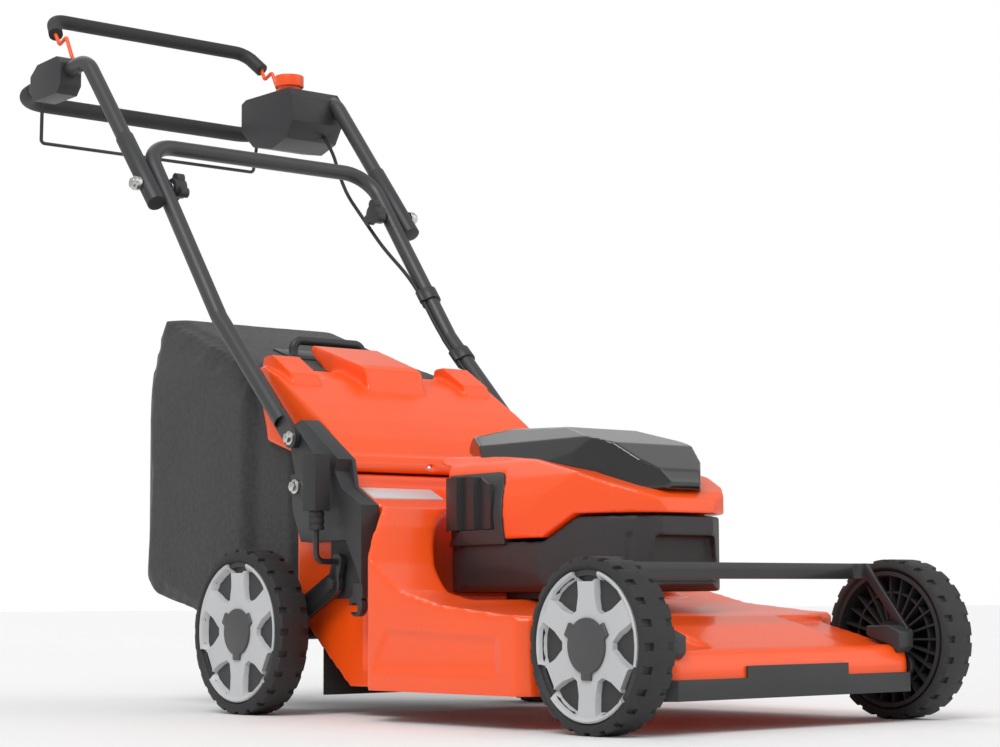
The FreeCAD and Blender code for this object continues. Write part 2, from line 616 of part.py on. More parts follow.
def cover_solid(wall):
    """The cover filled up, or the room inside it when a wall is given."""
    half, front, back = num("cover_half_width"), num("cover_front"), num("cover_back")
    section = [(-half, 120), (half, 120), (half, 262), (half - 12, 306), (half - 34, 340), (half - 64, 372),
               (64 - half, 372), (34 - half, 340), (12 - half, 306), (-half, 262)]
    half_plan_points = [(half - 40, front), (half - 6, front + 46), (half, front + 130), (half, -300),
                        (half - 20, back)]
    plan = half_plan_points + [(-x, y) for x, y in reversed(half_plan_points)]
    if wall:
        room = shrunk(cover_profile(60), "x", -half, 2 * half, wall).common(shrunk(plan, "z", 0, 500, wall))
        return room.common(cover_section(section, wall))
    return slab(cover_profile(0), "x", -half, 2 * half).common(slab(plan, "z", 0, 500)).common(
        cover_section(section, 0))


def cover_section(section, wall):
    """The cover's cross-section, moved inwards by a wall, along the whole cover."""
    wire = Part.makePolygon([Vec(x, -700, z) for x, z in section + section[:1]])
    face = Part.Face(wire.makeOffset2D(-wall, 2)) if wall else Part.Face(wire)
    return face.extrude(Vec(0, 600, 0))


def motor_cover():
    wall, half, lid = num("cover_wall"), num("cover_half_width"), num("lid_half_width")
    shell = cover_solid(0).cut(cover_solid(wall))
    bay = Part.makeBox(2 * lid - 16, 330, 200, Vec(8 - lid, -588, 268))
    panes = Part.makeBox(2 * half + 20, 128, 84, Vec(-half - 10, -392, 244))
    return shell.cut(bay).cut(panes).removeSplitter()


free_piece("motor_cover", motor_cover())


def side_grille():
    """A louvred panel: a frame in the cover's side opening with three slanted fins."""
    half = num("cover_half_width")
    frame = Part.makeBox(6, 127.4, 83.4, Vec(-half + 1, -391.7, 244.3))
    frame = frame.cut(Part.makeBox(10, 111, 66, Vec(-half - 2, -383.5, 253)))
    back = Part.makeBox(2, 127.4, 60, Vec(-half + 7, -391.7, 244.3))
    fins = [slab([(y, 251), (y + 3, 251), (y + 9, 322), (y + 6, 322)], "x", -half + 2, 6)
            for y in (-358, -332, -306)]
    return frame.fuse(fins + [back]).removeSplitter()


free_piece("side_grilles", both_sides(side_grille()))


def battery_lid():
    half, wall = num("lid_half_width"), num("lid_thickness")
    front, back = num("lid_front"), num("lid_back")
    profile = [(back - 3, 356), (back - 1, 366), (back - 20, 378), (back - 100, 384), (back - 220, 379),
               (front + 60, 352), (front + 10, 316), (front, 300), (front + 4, 291.5)]
    section = [(-half, 280), (half, 280), (half, 330), (half - 14, 362), (half - 34, 392), (34 - half, 392),
               (14 - half, 362), (-half, 330)]
    plan = [(28 - half, front), (half - 28, front), (half, front + 60), (half, -330), (half - 40, back),
            (40 - half, back), (-half, -330), (-half, front + 60)]
    tall = Part.makePolygon([Vec(x, -700, z) for x, z in section + section[:1]])
    outer = slab(profile, "x", -half, 2 * half).common(slab(plan, "z", 0, 500))
    outer = outer.common(Part.Face(tall).extrude(Vec(0, 600, 0)))
    inner = shrunk(profile, "x", -half, 2 * half, wall).common(shrunk(plan, "z", 0, 500, wall))
    inner = inner.common(Part.Face(tall.makeOffset2D(-wall, 2)).extrude(Vec(0, 600, 0)))
    inner_low = inner.copy()
    inner_low.translate(Vec(0, 0, -2 * wall))
    barrel = disc_x(num("lid_pivot_y"), num("lid_pivot_z"), num("lid_barrel_radius"), -45, 90)
    return outer.cut(inner).cut(inner_low).fuse(barrel).removeSplitter()


free_piece("battery_lid", battery_lid())


# --- rear flap with its hinge -----------------------------------------------------------------

flap_y, flap_z = num("flap_pivot_y"), num("flap_pivot_z")


def rear_flap():
    half, wall = num("flap_half_width"), num("flap_wall")
    top = [(flap_y - 6, flap_z + 8), (-132, 356), (-100, 386), (-66, 413), (-28, 441), (40, 490),
           (78, 511), (96, 511)]
    profile = top + [(106, 502), (66, 396), (flap_y + 30, flap_z + 12), (flap_y - 4, flap_z + 7)]
    under = [(y + 2, z - wall) for y, z in top[1:]] + [(140, 560), (140, 300), (flap_y, flap_z - 40)]
    shell = slab(profile, "x", -half, 2 * half).cut(slab(under, "x", wall - half, 2 * (half - wall)))
    boss = [(16, 470), (38, 498), (150, 542), (156, 530), (104, 503), (78, 506)]
    boss_top = slab(boss, "x", -62, 124)
    rib = slab([(20, 472), (26, 486), (76, 517), (98, 514), (95, 508), (78, 508)], "x", 128, 48)
    knuckle = disc_x(flap_y, flap_z, num("flap_rod_radius") + 4, 112, 34)
    web = slab([(flap_y - 4, flap_z + 4), (flap_y + 4, flap_z + 4), (-128, 354), (-136, 350)], "x", 112, 34)
    solid = shell.fuse([boss_top, rib, mirrored(rib), knuckle.fuse(web), mirrored(knuckle.fuse(web))])
    return solid.cut(disc_x(flap_y, flap_z, num("flap_rod_radius") + CLEAR, -half, 2 * half)).removeSplitter()


free_piece("rear_flap", rear_flap())

flap_rod = new_body("flap_hinge_rod")
rod(flap_rod, "x", ("-tower_half_width + 6", "flap_pivot_y", "flap_pivot_z"), "flap_rod_radius",
    "2 * (tower_half_width - 6)")


def flap_spring():
    """A torsion spring round the rod: its coils, drawn as rings that touch each other."""
    coil, wire, first = num("flap_rod_radius") + 2, 1.0, 60
    rings = []
    for turn in range(6):
        ring = Part.makeTorus(coil, wire, Vec(first + 1.9 * turn, flap_y, flap_z), Vec(1, 0, 0))
        rings.append(ring)
    return rings[0].fuse(rings[1:])


free_piece("flap_springs", both_sides(flap_spring()))


# --- grass bag --------------------------------------------------------------------------------

BAG_SHOULDER = (112, 496)


def bag_top_at(y):
    """Height of the bag's sloping top at a place along the mower."""
    back, top = num("bag_back") - 8, num("bag_top_z")
    return BAG_SHOULDER[1] + (y - BAG_SHOULDER[0]) * (top - BAG_SHOULDER[1]) / (back - BAG_SHOULDER[0])


def bag_profile():
    back, floor, top = num("bag_back"), num("bag_floor_z"), num("bag_top_z")
    front = BAG_SHOULDER[0]
    return [BAG_SHOULDER, (back - 8, top), (back, top - 14), (back + 2, 420), (back - 6, 192),
            (back - 30, 168),
            (244, floor - 5), (130, floor), (front, floor + 6)]


def bag_section(wall):
    half, top = num("bag_half_width"), num("bag_top_z")
    points = [(-half, 100), (half, 100), (half, 440), (half - 8, 500), (half - 39, top + 20),
              (39 - half, top + 20), (8 - half, 500), (-half, 440)]
    wire = Part.makePolygon([Vec(x, 0, z) for x, z in points + points[:1]])
    face = Part.Face(wire.makeOffset2D(-wall, 2)) if wall else Part.Face(wire)
    return face.extrude(Vec(0, 600, 0))


def bag_fabric():
    half, wall = num("bag_half_width"), num("bag_wall")
    front, low = num("bag_front"), num("bag_front_floor_z")
    neck = [(front, 430), (116, 501), (116, 142), (60, low), (front, low)]
    neck_half = half - 16
    outer = slab(bag_profile(), "x", -half, 2 * half).common(bag_section(0))
    outer = outer.fuse(slab(neck, "x", -neck_half, 2 * neck_half))
    room = shrunk(bag_profile(), "x", -half, 2 * half, wall).common(bag_section(wall))
    throat = slab([(front - 5, 424), (120, 495), (120, 150), (62, low + wall), (front - 5, low + wall)], "x",
                  wall - neck_half, 2 * (neck_half - wall))
    return outer.cut(room).cut(throat).removeSplitter()


free_piece("bag_fabric", bag_fabric())


def bag_frame():
    """The wire that holds the bag open: a hoop at its mouth and two rails along its top."""
    x, wire = num("bag_half_width") - 26, 3.5
    low, high, front = num("bag_front_floor_z") + 10, 414, num("bag_front") + 8
    hoop = bent_rod([Vec(0, front, low), Vec(x, front, low), Vec(x, front, high), Vec(-x, front, high),
                     Vec(-x, front, low), Vec(0, front, low)], 20, wire)
    rail = [Vec(x - 3, front, high - 22), Vec(x - 6, 110, 470), Vec(x - 30, num("bag_back") - 22, 580)]
    rail = bent_rod(rail, 60, wire)
    bar = Part.makeCylinder(wire, 2 * x - 58, Vec(29 - x, num("bag_back") - 24, 579), Vec(1, 0, 0))
    roof = num("mouth_top_z") - 7
    hook = [(front, high), (-20, 392), (-52, 380), (-55, roof + 2)]
    hook = bent_rod([Vec(x - 20, y, z) for y, z in hook], 8, wire)
    return hoop.fuse([rail, mirrored(rail), bar, hook, mirrored(hook)])


free_piece("bag_frame", bag_frame())


def bag_handle():
    """A moulded carrying loop on a plate that lies on the bag's sloping top."""
    y, plate = num("bag_handle_y"), 7
    front, back = y - 26, y + 26
    foot = bag_top_at(y) + 4
    loop = [(-64, foot), (-64, foot + 24), (64, foot + 24), (64, foot)]
    loop = bent_rod([Vec(x, y, z) for x, z in loop], 14, 7)
    base = slab([(front, bag_top_at(front)), (back, bag_top_at(back)), (back, bag_top_at(back) + plate),
                 (front, bag_top_at(front) + plate)], "x", -84, 168)
    return loop.fuse(base).removeSplitter()


free_piece("bag_handle", bag_handle())

# --- handle -----------------------------------------------------------------------------------

TUBE, TUBE_WALL, BEND = num("tube_radius"), num("tube_wall"), num("handle_bend")
lower_x, upper_x, BOLT = num("lower_x"), num("upper_x"), num("bolt_radius")
fold = Vec(0, num("fold_y"), num("fold_z"))
knee = Vec(0, num("knee_y"), num("knee_z"))
lower_top = Vec(0, num("lower_top_y"), num("lower_top_z"))
knob = knee + (lower_top - knee) * ((num("knob_z") - knee.z) / (lower_top.z - knee.z))
bend = Vec(0, num("bend_y"), num("bend_z"))
reach = Vec(0, num("handle_reach"), num("handle_end_z"))
up_lower = (knee - fold).normalize()
up_upper = (bend - knob).normalize()
upper_end = knob - up_upper * 40


def at_x(point, x):
    return Vec(x, point.y, point.z)


def lower_handle():
    start = fold + up_lower * 36
    route = [at_x(start, -lower_x), at_x(knee, -lower_x), at_x(lower_top, -lower_x), at_x(lower_top, lower_x),
             at_x(knee, lower_x), at_x(start, lower_x)]
    tube = bent_tube(route, BEND, TUBE, TUBE_WALL)
    tip = fold + up_lower * 44
    blade_end = arm_between((fold.y, fold.z), (tip.y, tip.z), TUBE + 1.5, lower_x - 4, 8)
    blade_end = blade_end.cut(disc_x(fold.y, fold.z, BOLT, 0, 400))
    hole = disc_x(knob.y, knob.z, BOLT, -400, 800)
    return tube.cut(hole).fuse([blade_end, mirrored(blade_end)])


free_piece("lower_handle", lower_handle())


def upper_route():
    half = [upper_end, bend, reach]
    return [at_x(p, -upper_x) for p in half] + [at_x(p, upper_x) for p in reversed(half)]


def upper_tube(radius, wall):
    return bent_tube(upper_route(), BEND, radius, wall) if wall else bent_rod(upper_route(), BEND, radius)


upper_solid = upper_tube(TUBE, 0)
knob_hole = disc_x(knob.y, knob.z, BOLT + CLEAR, -400, 800)
free_piece("upper_handle", upper_tube(TUBE, TUBE_WALL).cut(knob_hole))


def tube_sleeve():
    """A thick plastic sleeve over the lower end of an upper tube."""
    start = at_x(upper_end - up_upper * 3, upper_x)
    thick = Part.makeCylinder(num("tube_radius + sleeve_wall"), 155, start, up_upper)
    return thick.cut(Part.makeCylinder(TUBE, 200, at_x(upper_end, upper_x), up_upper)).cut(knob_hole)


free_piece("tube_sleeves", both_sides(tube_sleeve()))


def grip_sleeve():
    """The soft grip: it covers the rear crossbar and both of its corners."""
    radius = num("tube_radius + grip_wall")
    back = (reach - bend).normalize()
    start = reach - back * 62
    route = [at_x(start, -upper_x), at_x(reach, -upper_x), at_x(reach, upper_x), at_x(start, upper_x)]
    return bent_rod(route, BEND, radius).cut(bent_rod(route, BEND, TUBE))


free_piece("handle_grip", grip_sleeve())


def handle_bolt():
    """A bolt across both tubes: its capped head outside, its thread reaching into the knob."""
    outside = upper_x + num("tube_radius + sleeve_wall") + 0.4
    head = disc_x(knob.y, knob.z, 11, outside, 9).fuse(disc_x(knob.y, knob.z, 8, outside + 9, 5))
    shank = disc_x(knob.y, knob.z, BOLT, lower_x - TUBE - 18, outside - lower_x + TUBE + 20)
    washer = disc_x(knob.y, knob.z, 8, lower_x - TUBE - 1.4, 1.4)
    return head.fuse([shank, washer]).removeSplitter()


free_piece("handle_bolts", both_sides(handle_bolt()))

for side, sign in (("right", -1), ("left", 1)):
    start = lower_x - TUBE - 1.7
    depth, radius = num("knob_depth"), num("knob_radius")
    grip_disc = disc_x(knob.y, knob.z, radius - 9, start - depth, depth)
    lobes = []
    for turn in range(3):
        angle = math.radians(90 + 120 * turn)
        reach_in = radius - 8
        lobes.append(disc_x(knob.y + reach_in * math.cos(angle), knob.z + reach_in * math.sin(angle), 8,
                            start - depth, depth - 6))
    solid = grip_disc.fuse(lobes).cut(disc_x(knob.y, knob.z, BOLT + CLEAR, start - 17, 40)).removeSplitter()
    free_piece(side + "_knob", solid if sign > 0 else mirrored(solid))


def pivot_bolt(y, z, start):
    """A flange bolt through a lower handle's end or a bracket, into the deck."""
    flange = disc_x(y, z, 10, start, 2.5)
    turns = [math.radians(60 * k) for k in range(6)]
    corners = [(y + 7 * math.cos(turn), z + 7 * math.sin(turn)) for turn in turns]
    inner = num("tower_half_width") + 3
    shank = disc_x(y, z, BOLT, inner, start - inner)
    return flange.fuse([slab(corners, "x", start, 8), shank]).removeSplitter()


bolt_pair = Part.makeCompound([pivot_bolt(fold.y, fold.z, lower_x + 4),
                               pivot_bolt(-65, 313, num("tower_half_width") + 32)])
free_piece("pivot_bolts", Part.makeCompound(bolt_pair.Solids + mirrored(bolt_pair).Solids))

# --- control cable along the left tubes -------------------------------------------------------

cable_x = num("lower_x") - TUBE - num("cable_radius") - 0.6
cable_join = Vec(cable_x - 4, 372, 790)
up_top = (lower_top - knee).normalize()
cable_bend = at_x(knee + up_top * 119, cable_x)
upper_cable = [Vec(226, 540, 966), Vec(221, 505, 930), Vec(206, 462, 880), Vec(cable_x - 4, 422, 840),
               cable_join]
lower_cable = [cable_join, Vec(cable_x - 4, 322, 740), cable_bend, at_x(knee, cable_x),
               at_x(fold + up_lower * 12, cable_x)]


def loose_bends(points):
    """Straight runs joined by tangent arcs, each as large as its two runs allow."""
    edges, start = [], points[0]
    for before, corner, after in zip(points, points[1:], points[2:]):
        into, out = corner - before, after - corner
        run = 0.45 * min(into.Length, out.Length)
        into, out = into.normalize(), out.normalize()
        turn = into.getAngle(out)
        radius = run / math.tan(turn / 2)
        print("cable arc radius", round(radius, 1))
        middle = corner + (out - into).normalize() * (radius / math.cos(turn / 2) - radius)
        edges.append(Part.LineSegment(start, corner - into * run).toShape())
        edges.append(Part.Arc(corner - into * run, middle, corner + out * run).toShape())
        start = corner + out * run
    edges.append(Part.LineSegment(start, points[-1]).toShape())
    return Part.Wire(edges)


def cable_piece(node, points):
    route = loose_bends(points)
    radius = num("cable_radius")
    disc = Part.Wire([Part.makeCircle(radius, points[0], points[1] - points[0])])
    tube = route.makePipeShell([disc], True, False)
    print(node, "length", round(route.Length, 1), "volume ratio",
          round(tube.Volume / (math.pi * radius ** 2 * route.Length), 4))
    free_piece(node, tube)
    return tube


cable_tube = cable_piece("upper_cable", upper_cable)
lower_tube = cable_piece("lower_cable", lower_cable)


def cable_clip(centre, along):
    """A clip that wraps the left lower tube and holds the cable beside it."""
    start, length = centre - along * 11, 22
    block = Part.makeCylinder(TUBE + 3.5, length, start, along)
    ear = Part.makeCylinder(num("cable_radius") + 3, length, at_x(start, cable_x), along)
    inside = Part.makeCylinder(TUBE, 3 * length, centre - along * 33, along)
    return block.fuse(ear).cut(inside).cut(lower_tube).removeSplitter()


clip_spots = [(at_x(fold + up_lower * 225, lower_x), up_lower), (at_x(knee + up_top * 88, lower_x), up_top)]
clips = [cable_clip(centre, along) for centre, along in clip_spots]
free_piece("cable_clips", Part.makeCompound(clips))

# --- hand controls ----------------------------------------------------------------------------

bail_pivot = Vec(0, num("bail_pivot_y"), num("bail_pivot_z"))
drive_pivot = Vec(0, num("drive_pivot_y"), num("drive_pivot_z"))
bail_x, bail_rod = num("bail_x"), num("bail_rod_radius")
drive_x, drive_rod = bail_x + 11, num("drive_rod_radius")


PIN_END = 231


def bail_mount():
    """The right pivot housing, clamped on the upper tube."""
    outline_yz = [(586, 1000), (600, 986), (676, 986), (692, 1000), (692, 1030), (668, 1046), (600, 1048),
                  (586, 1036)]
    solid = slab(outline_yz, "x", -262, 38).cut(upper_solid)
    pins = [disc_x(bail_pivot.y, bail_pivot.z, bail_rod + CLEAR, -PIN_END, 20),
            disc_x(drive_pivot.y, drive_pivot.z, drive_rod + CLEAR, -PIN_END, 20)]
    for pin in pins:
        solid = solid.cut(pin)
    return solid.removeSplitter()


free_piece("bail_mount", bail_mount())


def control_box():
    outline_yz = [(540, 1044), (528, 1030), (526, 985), (546, 956), (590, 944), (650, 956), (690, 990),
                  (690, 1040), (676, 1046)]
    solid = slab(outline_yz, "x", 150, 104).cut(upper_solid)
    solid = solid.cut(cable_tube)
    slot = Part.makeBox(23.6, 100, 100, Vec(200.4, 612, 990))
    pins = [disc_x(bail_pivot.y, bail_pivot.z, bail_rod + CLEAR, PIN_END - 20, 20),
            disc_x(drive_pivot.y, drive_pivot.z, drive_rod + CLEAR, PIN_END - 20, 20)]
    well = disc_z(174, 572, num("button_radius") - 6 + 0.3, 1030, 40)
    for tool in [slot, well] + pins:
        solid = solid.cut(tool)
    return solid.removeSplitter()


free_piece("control_box", control_box())

button = new_body("start_button")
rod(button, "z", ("174", "572", "1046 + button_travel + 0.5"), "button_radius", "button_height")
rod(button, "z", ("174", "572", "1046 - 8"), "button_radius - 6", "16")


def bail_bar():
    x, top = bail_x, num("bail_bar_z")
    end = Vec(x + 1, 712, 1116)
    corner = Vec(x - 12, num("bail_y"), top)
    route = [end, corner, Vec(-corner.x, corner.y, corner.z), Vec(-end.x, end.y, end.z)]
    return bent_rod(route, 28, num("bail_bar_radius"))


bar_solid = bail_bar()


def bail_wire():
    """An orange wire: from its pivot pin up through a kink to the end of the bar."""
    points = [Vec(PIN_END - 1, bail_pivot.y, bail_pivot.z), at_x(bail_pivot, bail_x), Vec(bail_x, 655, 1066),
              Vec(bail_x, 676, 1104), Vec(bail_x, 700, 1096), Vec(bail_x + 1, 714, 1118)]
    return bent_rod(points, 5, bail_rod)


free_piece("bail_wires", both_sides(bail_wire()))
free_piece("bail_bar", bar_solid.cut(both_sides(bail_wire())))


def drive_bail():
    bar = Vec(0, num("drive_bar_y"), num("drive_bar_z"))
    points = [Vec(PIN_END - 1, drive_pivot.y, drive_pivot.z), at_x(drive_pivot, drive_x),
              Vec(drive_x, 738, drive_pivot.z), at_x(bar, drive_x - 4)]
    return bent_rod(points + [Vec(-p.x, p.y, p.z) for p in reversed(points)], 7, drive_rod)


free_piece("drive_bail", drive_bail())

# --- check everything, then write it ----------------------------------------------------------

doc.recompute()
for item in doc.Objects:
    if "Invalid" in item.State or "Error" in item.State:
        raise RuntimeError("failed object: %s (%s)" % (item.Label, item.Name))
for piece in pieces:
    shape = piece.Shape
    if shape.isNull() or not shape.isValid() or not shape.Solids:
        raise RuntimeError("bad shape: " + piece.Label)

os.makedirs("parts", exist_ok=True)
for piece in pieces:
    piece.Shape.exportStep("parts/%s.step" % piece.Label)
print(len(pieces), "pieces")
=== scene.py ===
import json
import math

import bpy
from mathutils import Matrix, Vector

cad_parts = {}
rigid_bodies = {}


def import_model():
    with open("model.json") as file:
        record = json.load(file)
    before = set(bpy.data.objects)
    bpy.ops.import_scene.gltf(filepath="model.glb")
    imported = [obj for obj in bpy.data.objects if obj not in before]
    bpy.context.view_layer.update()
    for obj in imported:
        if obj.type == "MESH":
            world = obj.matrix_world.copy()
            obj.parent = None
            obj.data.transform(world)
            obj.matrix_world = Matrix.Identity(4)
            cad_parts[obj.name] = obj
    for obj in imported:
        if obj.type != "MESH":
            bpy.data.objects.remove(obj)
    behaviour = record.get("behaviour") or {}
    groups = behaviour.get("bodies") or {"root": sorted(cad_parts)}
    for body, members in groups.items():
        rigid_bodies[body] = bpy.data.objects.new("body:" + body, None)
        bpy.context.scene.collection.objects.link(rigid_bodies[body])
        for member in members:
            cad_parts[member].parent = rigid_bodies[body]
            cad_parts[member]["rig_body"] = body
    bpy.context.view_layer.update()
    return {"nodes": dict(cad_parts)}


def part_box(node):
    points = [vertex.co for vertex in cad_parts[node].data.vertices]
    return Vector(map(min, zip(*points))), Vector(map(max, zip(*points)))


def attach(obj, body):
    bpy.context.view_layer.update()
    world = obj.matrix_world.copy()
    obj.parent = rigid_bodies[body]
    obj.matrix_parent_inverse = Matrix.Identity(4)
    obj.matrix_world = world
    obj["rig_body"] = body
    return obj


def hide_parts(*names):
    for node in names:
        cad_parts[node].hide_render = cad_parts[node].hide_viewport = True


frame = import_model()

# ---- Deck shell -------------------------------------------------------------------
# One glossy orange moulding: a low skirt round the blade, two rails that rise to the
# tower at the back, and a round scoop between them where the drive unit sits.
# It is a thin wall, open underneath and at the back where the grass leaves.

rear_low, rear_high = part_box("rear_right_tyre")
REAR_AXLE = (rear_low.y + rear_high.y) / 2


def at(x, y, z):
    """A place in mm from the ground under the rear axle, as a place in the frame."""
    return Vector((x / 1000, REAR_AXLE + y / 1000, z / 1000))


def only(piece):
    """Select this piece and nothing else."""
    bpy.ops.object.select_all(action="DESELECT")
    piece.hide_set(False)
    piece.select_set(True)
    bpy.context.view_layer.objects.active = piece


def worked(piece, kind, **settings):
    """Put one modifier on a piece and apply it."""
    only(piece)
    step = piece.modifiers.new("step", kind)
    for word, value in settings.items():
        setattr(step, word, value)
    bpy.ops.object.modifier_apply(modifier=step.name)
    return piece


def faced(piece, merge=1e-6):
    """Merge what meets and turn every face outwards."""
    only(piece)
    bpy.ops.object.mode_set(mode="EDIT")
    bpy.ops.mesh.select_all(action="SELECT")
    bpy.ops.mesh.remove_doubles(threshold=merge)
    bpy.ops.mesh.normals_make_consistent(inside=False)
    bpy.ops.object.mode_set(mode="OBJECT")
    return piece


def placed(axis, a, b, along):
    """A point of an outline drawn across one axis, at a distance along that axis."""
    return at(*{"x": (along, a, b), "y": (a, along, b), "z": (a, b, along)}[axis])


def block(name, outline, axis, low, high, far=None):
    """A slab with this outline, in mm, from low to high along an axis. Its far face may differ."""
    bpy.ops.object.select_all(action="DESELECT")
    bpy.ops.mesh.primitive_circle_add(vertices=len(outline), fill_type="NGON")
    piece = bpy.context.object
    piece.name = name
    count = len(outline)
    for corner, (a, b) in zip(piece.data.vertices, outline):
        corner.co = placed(axis, a, b, low)
    bpy.ops.object.mode_set(mode="EDIT")
    bpy.ops.mesh.select_all(action="SELECT")
    step = placed(axis, 0, 0, high) - placed(axis, 0, 0, low)
    bpy.ops.mesh.extrude_region_move(TRANSFORM_OT_translate={"value": step})
    bpy.ops.object.mode_set(mode="OBJECT")
    if far:
        homes = [placed(axis, a, b, low) + step for a, b in outline]
        goals = [placed(axis, a, b, high) for a, b in far]
        for corner in piece.data.vertices:
            near = min(range(count), key=lambda i: (corner.co - homes[i]).length)
            if (corner.co - homes[near]).length < 1e-5:
                corner.co = goals[near]
    return faced(piece)


def carved(piece, cutter, operation="DIFFERENCE"):
    """Cut, join or cross a piece with another, which is then gone."""
    worked(piece, "BOOLEAN", operation=operation, object=cutter, solver="EXACT")
    bpy.data.objects.remove(cutter)
    return piece


def drum(name, centre, radius, depth, axis="z", sides=96):
    """A plain round blank."""
    turn = {"x": (0, math.pi / 2, 0), "y": (math.pi / 2, 0, 0), "z": (0, 0, 0)}[axis]
    bpy.ops.object.select_all(action="DESELECT")
    bpy.ops.mesh.primitive_cylinder_add(
        vertices=sides, radius=radius / 1000, depth=depth / 1000, location=centre, rotation=turn)
    piece = bpy.context.object
    piece.name = name
    bpy.ops.object.transform_apply(location=True, rotation=True, scale=True)
    return piece


def moulded(piece, cell, passes, keep=1.0):
    """Turn a carved block into one flowing moulding with soft edges."""
    worked(piece, "REMESH", mode="VOXEL", voxel_size=cell / 1000, use_smooth_shade=True)
    worked(piece, "SMOOTH", factor=0.5, iterations=passes)
    if keep < 1:
        worked(piece, "DECIMATE", ratio=keep)
    return piece


def sliced(piece, point, normal):
    """Cut away what lies on the normal's side of a plane and leave the cut open."""
    only(piece)
    bpy.ops.object.mode_set(mode="EDIT")
    bpy.ops.mesh.select_all(action="SELECT")
    bpy.ops.mesh.bisect(plane_co=point, plane_no=normal, clear_outer=True, clear_inner=False)
    bpy.ops.object.mode_set(mode="OBJECT")
    return piece


def walled(piece, thickness):
    """Give an open skin its wall, inwards."""
    worked(piece, "SOLIDIFY", thickness=thickness / 1000, offset=-1, use_even_offset=False)
    return piece


def smoothed(piece, angle=40):
    only(piece)
    bpy.ops.object.shade_smooth_by_angle(angle=math.radians(angle))
    return piece


NOISE_LOW, NOISE_HIGH = 0.3, 0.7


def noise(made, place, scale, detail):
    """Noise laid over a piece's own coordinates."""
    source = made.node_tree.nodes.new("ShaderNodeTexNoise")
    source.inputs["Scale"].default_value = scale
    source.inputs["Detail"].default_value = detail
    made.node_tree.links.new(place.outputs["Object"], source.inputs["Vector"])
    return source.outputs["Fac"]


def tinted(made, value, colour, vary):
    """A colour that runs a share darker and lighter with the noise."""
    tone = made.node_tree.nodes.new("ShaderNodeValToRGB")
    dark, light = tone.color_ramp.elements
    dark.position = NOISE_LOW
    light.position = NOISE_HIGH
    dark.color = [c * (1 - vary) for c in colour] + [1]
    light.color = [min(1, c * (1 + vary)) for c in colour] + [1]
    made.node_tree.links.new(value, tone.inputs["Fac"])
    return tone.outputs["Color"]


def glossed(made, value, roughness, spread=0.15):
    """A roughness that varies with the noise."""
    gloss = made.node_tree.nodes.new("ShaderNodeMapRange")
    gloss.inputs["From Min"].default_value = NOISE_LOW
    gloss.inputs["From Max"].default_value = NOISE_HIGH
    gloss.inputs["To Min"].default_value = roughness * (1 - spread)
    gloss.inputs["To Max"].default_value = min(1, roughness * (1 + spread))
    made.node_tree.links.new(value, gloss.inputs["Value"])
    return gloss.outputs["Result"]


def raised(made, value, strength, depth):
    """A bump this many mm deep."""
    bump = made.node_tree.nodes.new("ShaderNodeBump")
    bump.inputs["Strength"].default_value = strength
    bump.inputs["Distance"].default_value = depth / 1000
    made.node_tree.links.new(value, bump.inputs["Height"])
    return bump


def finish_of(name, colour, roughness, vary=0.10, grain=900, depth=0.05, coat=0.0, metal=0.0, patch=7,
              coat_rough=0.08, sheen=0.0):
    """A material whose colour and gloss drift in patches over a fine surface grain, depth in mm."""
    made = bpy.data.materials.new(name)
    made.use_nodes = True
    tie = made.node_tree.links.new
    shader = made.node_tree.nodes["Principled BSDF"]
    shader.inputs["Metallic"].default_value = metal
    shader.inputs["Coat Weight"].default_value = coat
    shader.inputs["Coat Roughness"].default_value = coat_rough
    shader.inputs["Sheen Weight"].default_value = sheen
    place = made.node_tree.nodes.new("ShaderNodeTexCoord")
    drift = noise(made, place, patch, 4)
    fine = noise(made, place, grain, 2)
    tie(tinted(made, drift, colour, vary), shader.inputs["Base Color"])
    tie(glossed(made, fine, roughness), shader.inputs["Roughness"])
    tie(raised(made, fine, 0.5, depth).outputs["Normal"], shader.inputs["Normal"])
    return made


def dress(piece, material):
    """Give a whole piece one material."""
    piece.data.materials.clear()
    piece.data.materials.append(material)
    return piece


def fit(piece, body, slot, material, *nodes):
    """Hang a finished piece on its body in place of the plain solids it stands for."""
    dress(piece, material)
    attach(piece, body)
    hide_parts(*nodes)
    return piece


ORANGE = (0.95, 0.088, 0.004)
orange_paint = finish_of("orange_paint", ORANGE, 0.32, vary=0.03, grain=420, depth=0.004, coat=0.25)
orange_plastic = finish_of("orange_plastic", ORANGE, 0.36, vary=0.03, grain=900, depth=0.006, coat=0.2)

DECK_HALF = 272
DECK_SIDE = [(-790, 38), (-790, 76), (-778, 94), (-746, 104), (-690, 122), (-640, 133), (-560, 138),
             (-440, 149), (-360, 167), (-302, 204), (-262, 252), (-228, 280), (-190, 290), (-150, 309),
             (-146, 328), (-126, 330), (-22, 352), (-22, 140), (-150, 38)]
DECK_HALF_PLAN = [(196, -790), (205, -781), (205, -614), (258, -608), (272, -594), (272, -292),
                  (200, -226), (200, -22)]


def both_halves(half):
    """An outline of half a piece, with its mirror image."""
    return half + [(-a, b) for a, b in reversed(half)]


